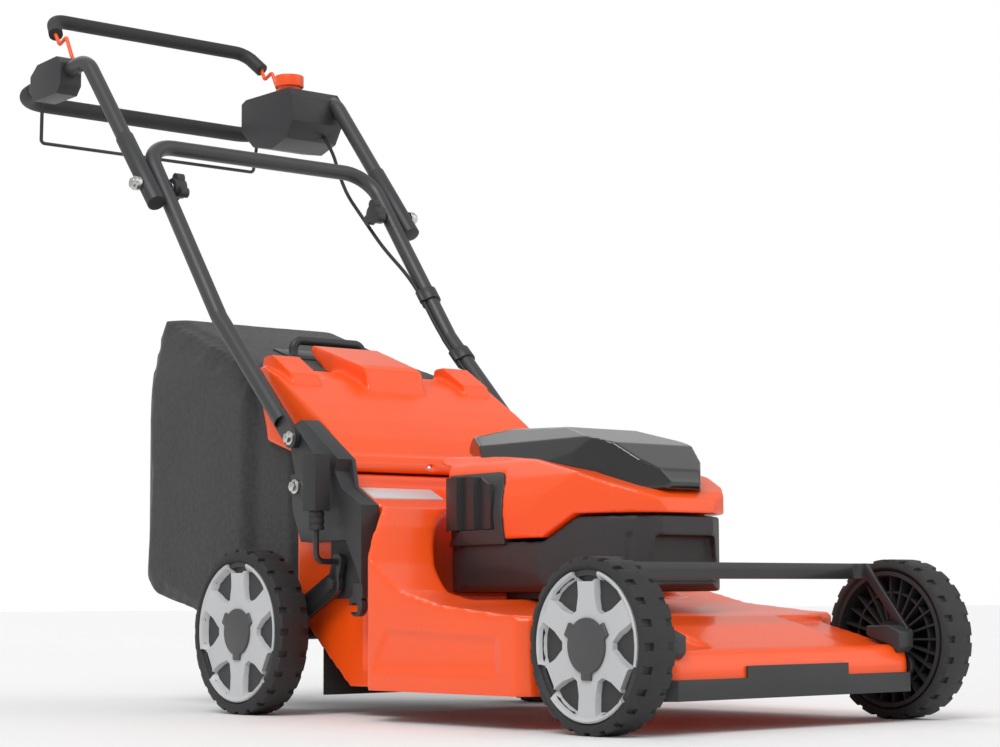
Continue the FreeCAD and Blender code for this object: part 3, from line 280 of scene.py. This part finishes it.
deck = block("deck_moulding", DECK_SIDE, "x", -DECK_HALF, DECK_HALF)
carved(deck, block("plan", both_halves(DECK_HALF_PLAN), "z", 20, 380), "INTERSECT")
carved(deck, drum("scoop", at(0, -400, 305), 196, 300))
FLANK = [(-560, 66), (-560, 108), (-330, 118), (-300, 66)]
NOSE_WELL = [(-800, 96), (-752, 96), (-700, 110), (-640, 124), (-640, 150), (-800, 150)]
for side in (-1, 1):
    carved(deck, block("panel", FLANK, "x", side * 268, side * 280))
    carved(deck, block("well", NOSE_WELL, "x", side * 118, side * 214))
    for low, high, inner, slant, top in ((-222, -206, 190, 4, 262), (-196, -184, 196, 0, 266)):
        ridge = [(side * inner, low), (side * 204, low), (side * 204, high), (side * (inner + slant), high)]
        carved(deck, block("ridge", ridge, "z", 60, top))
moulded(deck, 4, 6, keep=0.45)
sliced(deck, at(0, 0, 40.5), (0, 0, -1))
sliced(deck, at(0, -24, 0), (0, 1, 0))
walled(deck, 3)
smoothed(deck)
fit(deck, "chassis", "orange_paint", orange_paint, "deck_shell")

PLATE_SIDE = [(-184, 291.5), (-184, 294.6), (-152, 309.6), (-152, 306.5)]
plate = block("blank_plate", PLATE_SIDE, "x", -184, -64)
plate_paint = finish_of("plate_paint", (0.62, 0.63, 0.64), 0.35, vary=0.04, grain=700, depth=0.01)
worked(plate, "BEVEL", width=0.0005, segments=2, limit_method="ANGLE", angle_limit=math.radians(40))
dress(smoothed(plate), plate_paint)
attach(plate, "chassis")

# ---- Bumper, skirt and the other plain mouldings on the deck ----------------------
# The bumper is a textured black strip clipped round the nose. The rubber skirt hangs
# behind the blade. Both come from plain solids whose edges only need breaking.

def softened(node, width, segments=2, edge=30, merge=1e-5):
    """A copy of a machined or moulded solid with its sharp edges rounded, width in mm."""
    source = frame["nodes"][node]
    piece = bpy.data.objects.new(node + "_finished", source.data.copy())
    bpy.context.scene.collection.objects.link(piece)
    piece.data.materials.clear()
    faced(piece, merge)
    worked(piece, "DECIMATE", decimate_type="DISSOLVE", angle_limit=math.radians(1))
    worked(piece, "BEVEL", width=width / 1000, segments=segments, limit_method="ANGLE",
           angle_limit=math.radians(edge), harden_normals=False)
    return smoothed(piece, 35)


def refit(node, width, slot, material, **settings):
    """Swap a node for its softened copy, on the same body."""
    body = frame["nodes"][node]["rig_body"]
    return fit(softened(node, width, **settings), body, slot, material, node)


black_plastic = finish_of("black_plastic", (0.030, 0.031, 0.033), 0.46, vary=0.12, grain=1600, depth=0.06)
skirt_rubber = finish_of("skirt_rubber", (0.018, 0.018, 0.019), 0.75, vary=0.2, grain=500, depth=0.1)
refit("front_bumper", 2.5, "black_plastic", black_plastic, segments=3)
refit("rear_skirt", 0.6, "skirt_rubber", skirt_rubber)

# ---- Handle brackets --------------------------------------------------------------
# Two glass-filled nylon cheeks bolted to the tower carry the handle, the lever and the flap.

for side in ("right", "left"):
    refit(side + "_handle_bracket", 1.6, "black_plastic", black_plastic, segments=3)

# ---- Height adjustment ------------------------------------------------------------
# A flat steel strap with a black coat crosses the nose and steadies the front axle.
# A bent rod with a soft grip lifts the rear axle frame.

black_paint = finish_of("black_paint", (0.020, 0.020, 0.022), 0.38, vary=0.08, grain=1200, depth=0.03,
                        coat=0.2)
bright_steel = finish_of("bright_steel", (0.62, 0.62, 0.60), 0.28, vary=0.08, grain=2200, depth=0.01,
                         metal=1.0)
soft_grip = finish_of("soft_grip", (0.022, 0.022, 0.024), 0.62, vary=0.1, grain=1100, depth=0.10)
grey_plastic = finish_of("grey_plastic", (0.50, 0.51, 0.52), 0.42, vary=0.03, grain=1500, depth=0.03)
cap_plastic = finish_of("cap_plastic", (0.060, 0.061, 0.064), 0.40, vary=0.06, grain=1500, depth=0.04)
cast_alloy = finish_of("cast_alloy", (0.40, 0.40, 0.39), 0.48, vary=0.12, grain=700, depth=0.10, metal=0.9)
refit("lift_bar", 0.8, "black_paint", black_paint)
for side in ("right", "left"):
    refit(side + "_lift_block", 2.2, "black_plastic", black_plastic, segments=3)
refit("lift_bar_screws", 0.8, "black_paint", black_paint)
refit("front_axle", 0.8, "black_paint", black_paint)
refit("rear_axle_frame", 0.8, "black_paint", black_paint)
refit("drive_gearbox", 2.0, "cast_alloy", cast_alloy, segments=3)
refit("drive_shaft", 0.6, "bright_steel", bright_steel)
refit("height_lever", 0.4, "black_paint", black_paint)
refit("lever_grip", 1.5, "soft_grip", soft_grip, segments=3)

# ---- Wheels -----------------------------------------------------------------------
# Each wheel is a black ribbed nylon core in a solid tyre, a pale trim disc with six deep
# windows clipped on from outside, and a small cap over the nut. Front and back differ in size.

tyre_rubber = finish_of("tyre_rubber", (0.020, 0.020, 0.021), 0.66, vary=0.14, grain=700, depth=0.12)


def turned(name, section, centre, steps=96):
    """A ring turned about X from a closed section of (across, radius) in mm."""
    bpy.ops.object.select_all(action="DESELECT")
    bpy.ops.mesh.primitive_circle_add(vertices=len(section), fill_type="NOTHING")
    piece = bpy.context.object
    piece.name = name
    for corner, (across, radius) in zip(piece.data.vertices, section):
        corner.co = centre + Vector((across, 0, radius)) / 1000
    bpy.ops.object.mode_set(mode="EDIT")
    bpy.ops.mesh.select_all(action="SELECT")
    bpy.ops.mesh.spin(steps=steps, angle=2 * math.pi, center=centre, axis=(1, 0, 0))
    bpy.ops.object.mode_set(mode="OBJECT")
    return faced(piece)


def round_x(outline, angle, centre):
    """Turn an outline of (along a radius, across it) about X to an angle, as frame (Y, Z) in mm."""
    spread = []
    for along, across in outline:
        y = along * math.cos(angle) - across * math.sin(angle)
        z = along * math.sin(angle) + across * math.cos(angle)
        spread.append((y + (centre.y - REAR_AXLE) * 1000, z + centre.z * 1000))
    return spread


def mirrored(piece, name):
    """The same piece for the other side of the mower."""
    other = bpy.data.objects.new(name, piece.data.copy())
    bpy.context.scene.collection.objects.link(other)
    other.data.transform(Matrix.Scale(-1, 4, (1, 0, 0)))
    return smoothed(faced(other))


def joined(piece, others):
    only(piece)
    for other in others:
        other.select_set(True)
    bpy.ops.object.join()
    return piece


FRONT_RIM, REAR_RIM = 87, 96.5


def trim_disc(name, rim, face, centre):
    """The pale disc with its six tapered windows and three bites out of the edge."""
    section = [(face + 12, 12), (face + 12, rim - 3), (face + 8, rim), (face - 1, rim),
               (face - 2.5, rim - 2), (face, rim - 6), (face + 2, 34), (face + 2, 12)]
    disc = turned(name, section, Vector((0, centre.y, centre.z)), 120)
    scale = rim / FRONT_RIM
    wide = [(42, -5), (42, 5), (56, 18), (78, 29), (83, 18), (84, 0), (83, -18), (78, -29), (56, -18)]
    tight = [(46, -3), (46, 3), (55, 10), (70, 20), (74, 12), (75, 0), (74, -12), (70, -20), (55, -10)]
    bite = [(73, -12), (73, 12), (80, 21), (99, 28), (99, -28), (80, -21)]
    for turn in range(6):
        angle = math.radians(60 * turn)
        outer = round_x([(a * scale, b * scale) for a, b in wide], angle, centre)
        inner = round_x([(a * scale, b * scale) for a, b in tight], angle, centre)
        carved(disc, block("window", outer, "x", face - 4, face + 14, far=inner))
    for turn in range(3):
        angle = math.radians(90 + 120 * turn)
        edge = round_x([(a * scale, b * scale) for a, b in bite], angle, centre)
        carved(disc, block("bite", edge, "x", face - 6, face + 16))
    worked(disc, "BEVEL", width=0.0009, segments=3, limit_method="ANGLE", angle_limit=math.radians(25))
    return smoothed(disc)


def wheel_core(name, rim, face, centre):
    """The dark ribbed core behind the trim disc."""
    inner = face + 46
    middle = Vector((0, centre.y, centre.z))
    section = [(face + 8, 15), (face + 8, rim - 8), (face + 3, rim - 7), (face + 3, rim - 0.5),
               (inner, rim - 0.5), (inner, rim - 6), (face + 15, rim - 9), (face + 15, 26),
               (inner - 2, 22), (inner - 2, 8.5), (face + 8, 8.5)]
    core = turned(name, section, middle, 96)
    hoop = [(face + 14, 58), (face + 14, 61), (inner - 12, 61), (inner - 12, 58)]
    ribs = [turned("ring", hoop, middle)]
    spoke = [(24, -1.3), (24, 1.3), (rim - 7, 1.3), (rim - 7, -1.3)]
    for turn in range(24):
        rib = round_x(spoke, math.radians(15 * turn), centre)
        ribs.append(block("rib", rib, "x", face + 14, inner - 9))
    joined(core, ribs)
    return smoothed(core, 30)


for end, rim, face in (("front", FRONT_RIM, -277.5), ("rear", REAR_RIM, -285.5)):
    low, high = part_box(end + "_right_tyre")
    centre = (low + high) / 2
    disc = trim_disc(end + "_right_trim", rim, face, centre)
    core = wheel_core(end + "_right_core", rim, face, centre)
    for side in ("right", "left"):
        wheel = end + "_" + side
        body = wheel + "_wheel"
        if side == "left":
            disc = mirrored(disc, wheel + "_trim")
            core = mirrored(core, wheel + "_core")
        fit(disc, body, "grey_plastic", grey_plastic, wheel + "_rim")
        fit(core, body, "black_plastic", black_plastic, wheel + "_rim")
        refit(wheel + "_tyre", 1.0, "tyre_rubber", tyre_rubber)
        refit(wheel + "_cap", 1.6, "cap_plastic", cap_plastic, segments=3)

# ---- Cutting gear -----------------------------------------------------------------
# The motor hangs in the scoop and turns a pressed steel blade under the deck.

blade_steel = finish_of("blade_steel", (0.42, 0.42, 0.41), 0.36, vary=0.1, grain=1500, depth=0.03, metal=1.0)
refit("cutting_motor", 1.5, "cast_alloy", cast_alloy)
refit("motor_shaft", 0.6, "bright_steel", bright_steel)
refit("blade_adapter", 1.0, "cast_alloy", cast_alloy)
refit("blade", 0.5, "blade_steel", blade_steel)
refit("blade_bolt", 0.5, "bright_steel", bright_steel)

# ---- Motor housing base and battery -----------------------------------------------
# A textured black tub stands on a round foot in the scoop. It holds the battery and the
# electronics, and its nose wraps up over the front of the drive unit.

BASE_SIDE = [(-606, 172), (-594, 164), (-250, 164), (-246, 172), (-246, 229), (-466, 229), (-520, 259),
             (-606, 259)]
BASE_HALF_PLAN = [(44, -606), (72, -588), (95, -560), (112, -516), (124, -460), (126, -400), (126, -312),
                  (118, -288), (98, -246)]
BASE_SECTION = [(-100, 150), (-122, 172), (-129, 215), (-129, 270), (129, 270), (129, 215), (122, 172),
                (100, 150)]

base = block("base_moulding", BASE_SIDE, "x", -130, 130)
carved(base, block("plan", both_halves(BASE_HALF_PLAN), "z", 120, 300), "INTERSECT")
carved(base, block("section", BASE_SECTION, "y", -620, -200), "INTERSECT")
carved(base, block("chin", [(-60, 176), (-50, 234), (50, 234), (60, 176)], "y", -640, -590))
for side in (-1, 1):
    port = [(side * 74, 182), (side * 74, 236), (side * 98, 236), (side * 98, 182)]
    carved(base, block("port", port, "y", -640, -578))
moulded(base, 2.6, 4, keep=0.5)
foot = drum("foot", at(0, -400, 161), 100, 13)
worked(foot, "BEVEL", width=0.0015, segments=3, limit_method="ANGLE", angle_limit=math.radians(40))
joined(base, [foot])
fit(smoothed(base), "chassis", "black_plastic", black_plastic, "motor_housing_base")
battery_plastic = finish_of("battery_plastic", (0.028, 0.029, 0.031), 0.5, vary=0.08, grain=1300, depth=0.05)
refit("battery_pack", 3.0, "battery_plastic", battery_plastic, segments=4)

# ---- Motor cover ------------------------------------------------------------------
# An orange moulding with a flowing crown clips over the tub. The lid lies in a shallow
# bed in its top, its tail reaches back over the vents, and its lower edge steps up in front.

COVER_SIDE = [(-202, 342), (-206, 352), (-224, 351), (-320, 347), (-420, 337), (-520, 316), (-590, 291),
              (-607, 280), (-612, 262), (-522, 262), (-470, 232), (-250, 232), (-246, 334)]
COVER_SECTION = [(-132, 225), (-132, 266), (-127, 288), (-117, 311), (-98, 336), (-66, 360), (-30, 372),
                 (30, 372), (66, 360), (98, 336), (117, 311), (127, 288), (132, 266), (132, 225)]
COVER_HALF_PLAN = [(40, -612), (72, -597), (97, -568), (117, -522), (132, -452), (132, -318), (126, -292),
                   (104, -246), (84, -202)]

cover = block("cover_moulding", COVER_SIDE, "x", -132, 132)
carved(cover, block("plan", both_halves(COVER_HALF_PLAN), "z", 200, 380), "INTERSECT")
carved(cover, block("section", COVER_SECTION, "y", -640, -180), "INTERSECT")
GRILLE = [(-400, 225), (-394, 268), (-386, 306), (-374, 322), (-345, 331), (-262, 338), (-225, 341),
          (-225, 225)]
for side in (-1, 1):
    carved(cover, block("vent", GRILLE, "x", side * 108, side * 140))
moulded(cover, 2.6, 5, keep=0.5)
sliced(cover, at(0, 0, 233.2), (0, 0, -1))
walled(cover, 3)
fit(smoothed(cover), "chassis", "orange_plastic", orange_plastic, "motor_cover")

# ---- Side grilles -----------------------------------------------------------------
# Black vent inserts fill the back corners of the cover: a rounded frame with upright
# curved louvres that overlap like scales.

def grille(side):
    """One insert, a hair inside the cover's window and skin."""
    frame_side = [(a + 1.5 if a < -300 else a, b + (1 if b < 230 else -1.5)) for a, b in GRILLE]
    insert = block("side_grille", frame_side, "x", side * 104, side * 131)
    plan = both_halves([(a - 1, b) for a, b in COVER_HALF_PLAN])
    carved(insert, block("plan", plan, "z", 200, 380), "INTERSECT")
    section = [(a * 0.992, b) for a, b in COVER_SECTION]
    carved(insert, block("section", section, "y", -640, -180), "INTERSECT")
    pit = [(-378, 246), (-372, 284), (-362, 306), (-340, 316), (-264, 322), (-258, 316), (-258, 246)]
    carved(insert, block("pit", pit, "x", side * 121, side * 140))
    worked(insert, "BEVEL", width=0.0016, segments=3, limit_method="ANGLE", angle_limit=math.radians(30))
    louvres = []
    for start in (-372, -336, -300):
        sweep = [(side * 120, start), (side * 130, start + 3), (side * 127, start + 20),
                 (side * 119, start + 40)]
        louvre = block("louvre", sweep, "z", 247, 318)
        carved(louvre, block("trim", [(a + 1, b) for a, b in pit], "x", side * 112, side * 134), "INTERSECT")
        louvres.append(louvre)
    joined(insert, louvres)
    return smoothed(insert, 35)


right_grille = grille(-1)
left_grille = grille(1)
joined(right_grille, [left_grille])
right_grille.name = "side_grille_inserts"
fit(right_grille, "chassis", "black_plastic", black_plastic, "side_grilles")

# ---- Battery lid ------------------------------------------------------------------
# A gloss black lid, crisp at its shoulders, hinged at the back so that the front lifts.

LID_SIDE = [(-225, 357), (-227, 366), (-244, 377), (-324, 384), (-444, 379), (-543, 353), (-592, 318),
            (-603, 301), (-600, 292), (-560, 290), (-420, 320), (-300, 330)]
LID_SECTION = [(-92, 280), (-92, 331), (-78, 362), (-56, 384.5), (56, 384.5), (78, 362), (92, 331),
               (92, 280)]
LID_HALF_PLAN = [(26, -603), (54, -574), (75, -532), (87, -486), (92, -430), (92, -330), (84, -292),
                 (52, -225)]

lid = block("lid_moulding", LID_SIDE, "x", -92, 92)
carved(lid, block("plan", both_halves(LID_HALF_PLAN), "z", 250, 400), "INTERSECT")
carved(lid, block("section", LID_SECTION, "y", -640, -200), "INTERSECT")
moulded(lid, 2.2, 3, keep=0.6)
lid_plastic = finish_of("lid_plastic", (0.010, 0.010, 0.011), 0.20, vary=0.08, grain=300, depth=0.004,
                        coat=0.6)
fit(smoothed(lid), "battery_lid", "lid_plastic", lid_plastic, "battery_lid")

# ---- Rear flap --------------------------------------------------------------------
# The orange flap shuts the grass mouth when the bag is off and rests on the bag when it is on.
# Its crowned skin carries a raised boss in the middle and a rib along each side.

FLAP_SIDE = [(-148, 332), (-146, 345), (-138, 354), (-128, 358), (-100, 384), (-66, 410), (-28, 436),
             (40, 478), (78, 494), (100, 496), (106, 486), (72, 400), (66, 386), (-30, 356), (-110, 340),
             (-134, 331)]
BOSS_FOOT = [(8, 452), (24, 496), (36, 503), (148, 541.5), (155, 534), (106, 486), (60, 450)]
RIB = [(14, 458), (26, 482), (34, 487), (76, 513), (98, 512), (102, 500), (90, 470)]

flap = block("flap_moulding", FLAP_SIDE, "x", -194, 194)
FLAP_HALF_PLAN = [(194, -150), (194, 60), (186, 110), (120, 116)]
carved(flap, block("plan", both_halves(FLAP_HALF_PLAN), "z", 300, 560), "INTERSECT")
boss = block("boss", BOSS_FOOT, "x", -64, 64)
carved(boss, block("splay", [(-50, -10), (-62, 170), (62, 170), (50, -10)], "z", 400, 600), "INTERSECT")
carved(flap, boss, "UNION")
SPRING_SLOT = [(-160, 338), (-160, 346), (-143, 346), (-143, 338)]
for side in (-1, 1):
    carved(flap, block("rib", RIB, "x", side * 132, side * 180), "UNION")
    carved(flap, block("slot", SPRING_SLOT, "x", side * 52, side * 64))
moulded(flap, 2.6, 2, keep=0.5)
fit(smoothed(flap), "rear_flap", "orange_plastic", orange_plastic, "rear_flap")
refit("flap_hinge_rod", 0.3, "bright_steel", bright_steel)
dress(frame["nodes"]["flap_springs"], bright_steel)

# ---- Grass bag --------------------------------------------------------------------
# Coated woven cloth sewn over a wire frame. The mouth is open to the front under the flap,
# the panels hang a little slack between seams with taped edges.

def cloth_of(name, colour, roughness, thread=260, depth=0.12):
    """Woven cloth: two crossed sets of threads with a slow change of shade."""
    made = finish_of(name, colour, roughness, vary=0.16, grain=130, depth=0.35, patch=5, sheen=0.15)
    nodes = made.node_tree.nodes
    tie = made.node_tree.links.new
    place = next(n for n in nodes if n.type == "TEX_COORD")
    bump = next(n for n in nodes if n.type == "BUMP")
    weave = nodes.new("ShaderNodeMath")
    weave.operation = "ADD"
    for index, way in enumerate(("X", "DIAGONAL")):
        threads = nodes.new("ShaderNodeTexWave")
        threads.bands_direction = way
        threads.inputs["Scale"].default_value = thread
        threads.inputs["Distortion"].default_value = 0.4
        tie(place.outputs["Object"], threads.inputs["Vector"])
        tie(threads.outputs["Fac"], weave.inputs[index])
    second = nodes.new("ShaderNodeBump")
    second.inputs["Strength"].default_value = 0.4
    second.inputs["Distance"].default_value = depth / 1000
    tie(weave.outputs[0], second.inputs["Height"])
    tie(bump.outputs["Normal"], second.inputs["Normal"])
    tie(second.outputs["Normal"], nodes["Principled BSDF"].inputs["Normal"])
    return made


BAG_SIDE = [(2, 168), (60, 168), (114, 140), (130, 136), (244, 132), (394, 169), (417, 192), (425, 420),
            (423, 592), (415, 604), (112, 496), (2, 430)]
BAG_SECTION = [(-194, 120), (-194, 440), (-187, 498), (-157, 626), (157, 626), (187, 498), (194, 440),
               (194, 120)]
BAG_HALF_PLAN = [(180, 2), (180, 112), (194, 124), (194, 410), (184, 425)]

bag = block("bag_cloth_shell", BAG_SIDE, "x", -194, 194)
carved(bag, block("section", BAG_SECTION, "y", -10, 440), "INTERSECT")
carved(bag, block("plan", both_halves(BAG_HALF_PLAN), "z", 100, 640), "INTERSECT")
moulded(bag, 7, 2)


def slackened(piece, frames, pressure, most):
    """Let cloth settle from its cut shape, moving no more than a few mm from it."""
    homes = [corner.co.copy() for corner in piece.data.vertices]
    only(piece)
    cloth = piece.modifiers.new("settle", "CLOTH")
    cloth.settings.quality = 4
    cloth.settings.tension_stiffness = 12
    cloth.settings.compression_stiffness = 6
    cloth.settings.bending_stiffness = 0.4
    cloth.settings.use_pressure = True
    cloth.settings.uniform_pressure_force = pressure
    cloth.settings.effector_weights.gravity = 0
    for moment in range(1, frames + 1):
        bpy.context.scene.frame_set(moment)
    bpy.ops.object.modifier_apply(modifier="settle")
    bpy.context.scene.frame_set(1)
    for corner, home in zip(piece.data.vertices, homes):
        move = corner.co - home
        if move.length > most / 1000:
            corner.co = home + move.normalized() * most / 1000
    return piece


slackened(bag, 14, 1.5, 4)
sliced(bag, at(0, 8, 0), (0, -1, 0))
worked(bag, "SUBSURF", levels=1, render_levels=1)
walled(bag, 1.5)
bag_cloth = cloth_of("bag_cloth", (0.030, 0.030, 0.031), 0.85)
fit(smoothed(bag, 60), "grass_bag", "bag_cloth", bag_cloth, "bag_fabric")
dress(frame["nodes"]["bag_frame"], black_paint)
refit("bag_handle", 1.2, "black_plastic", black_plastic)

# ---- Handle -----------------------------------------------------------------------
# Two bent steel tubes with a satin grey-black powder coat. The lower one is flattened and
# bolted to the brackets. The upper one folds forward over it when the two knobs are loosened.

tube_paint = finish_of("tube_paint", (0.040, 0.041, 0.043), 0.42, vary=0.06, grain=1300, depth=0.03, coat=0.1)
dress(frame["nodes"]["lower_handle"], tube_paint)
dress(frame["nodes"]["upper_handle"], tube_paint)
refit("tube_sleeves", 0.8, "black_plastic", black_plastic)
refit("handle_bolts", 0.6, "bright_steel", bright_steel)
refit("pivot_bolts", 0.6, "bright_steel", bright_steel)
for side in ("right", "left"):
    refit(side + "_knob", 1.4, "black_plastic", black_plastic, segments=3)

# ---- Grip -------------------------------------------------------------------------
# Soft foam-rubber sleeve over the crossbar.

dress(frame["nodes"]["handle_grip"], soft_grip)

# ---- Control cable ----------------------------------------------------------------
# One jacketed cable from the control box down the left tube, held by two clips.

cable_rubber = finish_of("cable_rubber", (0.016, 0.016, 0.017), 0.5, vary=0.1, grain=900, depth=0.03)
dress(frame["nodes"]["lower_cable"], cable_rubber)
dress(frame["nodes"]["upper_cable"], cable_rubber)
refit("cable_clips", 0.6, "black_plastic", black_plastic)

# ---- Hand controls ----------------------------------------------------------------
# The stop bail is a thick soft bar on orange sprung wires. The drive bail is a thin black wire.
# The control box on the left tube has the orange start button.

orange_wire = finish_of("orange_wire", ORANGE, 0.36, vary=0.04, grain=900, depth=0.02, coat=0.2)
refit("bail_mount", 2.5, "black_plastic", black_plastic, segments=3)
refit("control_box", 1.5, "black_plastic", black_plastic, segments=3)
refit("start_button", 1.2, "orange_plastic", orange_plastic, segments=3)
dress(frame["nodes"]["bail_bar"], soft_grip)
dress(frame["nodes"]["bail_wires"], orange_wire)
dress(frame["nodes"]["drive_bail"], black_paint)

# ---- Studio -----------------------------------------------------------------------
# A pale floor that runs out to the horizon, even white surroundings and three soft lamps.

scene = bpy.context.scene
scene.view_settings.view_transform = "Standard"
bpy.ops.object.select_all(action="DESELECT")
bpy.ops.mesh.primitive_circle_add(vertices=96, radius=60, fill_type="NGON", location=(0, 0, 0))
floor = bpy.context.object
floor.name = "studio_floor"
dress(floor, finish_of("pale_floor", (0.86, 0.86, 0.86), 0.7, vary=0.01, grain=30, depth=0.01, patch=0.5))

world = bpy.data.worlds.new("studio")
world.use_nodes = True
surround = world.node_tree.nodes["Background"]
surround.inputs["Color"].default_value = (1, 1, 1, 1)
sight = world.node_tree.nodes.new("ShaderNodeLightPath")
bright = world.node_tree.nodes.new("ShaderNodeMapRange")
bright.inputs["To Min"].default_value = 0.55
bright.inputs["To Max"].default_value = 1.0
world.node_tree.links.new(sight.outputs["Is Camera Ray"], bright.inputs["Value"])
world.node_tree.links.new(bright.outputs["Result"], surround.inputs["Strength"])
scene.world = world


def lamp(name, slant, power, spread):
    """A broad soft light that falls evenly, from a direction given as where it stands."""
    light = bpy.data.lights.new(name, "SUN")
    light.energy = power
    light.angle = math.radians(spread)
    holder = bpy.data.objects.new(name, light)
    scene.collection.objects.link(holder)
    holder.rotation_euler = Vector(slant).to_track_quat("Z", "Y").to_euler()
    return holder


lamp("key", (-0.75, -0.45, 1.0), 1.7, 35)
lamp("fill", (0.9, -0.9, 0.7), 0.45, 50)
lamp("back", (0.3, 1.0, 0.9), 0.35, 40)

camera = bpy.data.cameras.new("camera")
camera.sensor_width = 36
camera.lens = 79.75
camera.shift_x = -0.0268
camera.shift_y = 0.0067
camera.clip_end = 200
viewer = bpy.data.objects.new("camera", camera)
scene.collection.objects.link(viewer)
viewer.location = at(-1933.8, -2635.1, 150.6)
viewer.rotation_euler = (math.radians(95.74), math.radians(0.4), math.radians(-39.45))
scene.camera = viewer
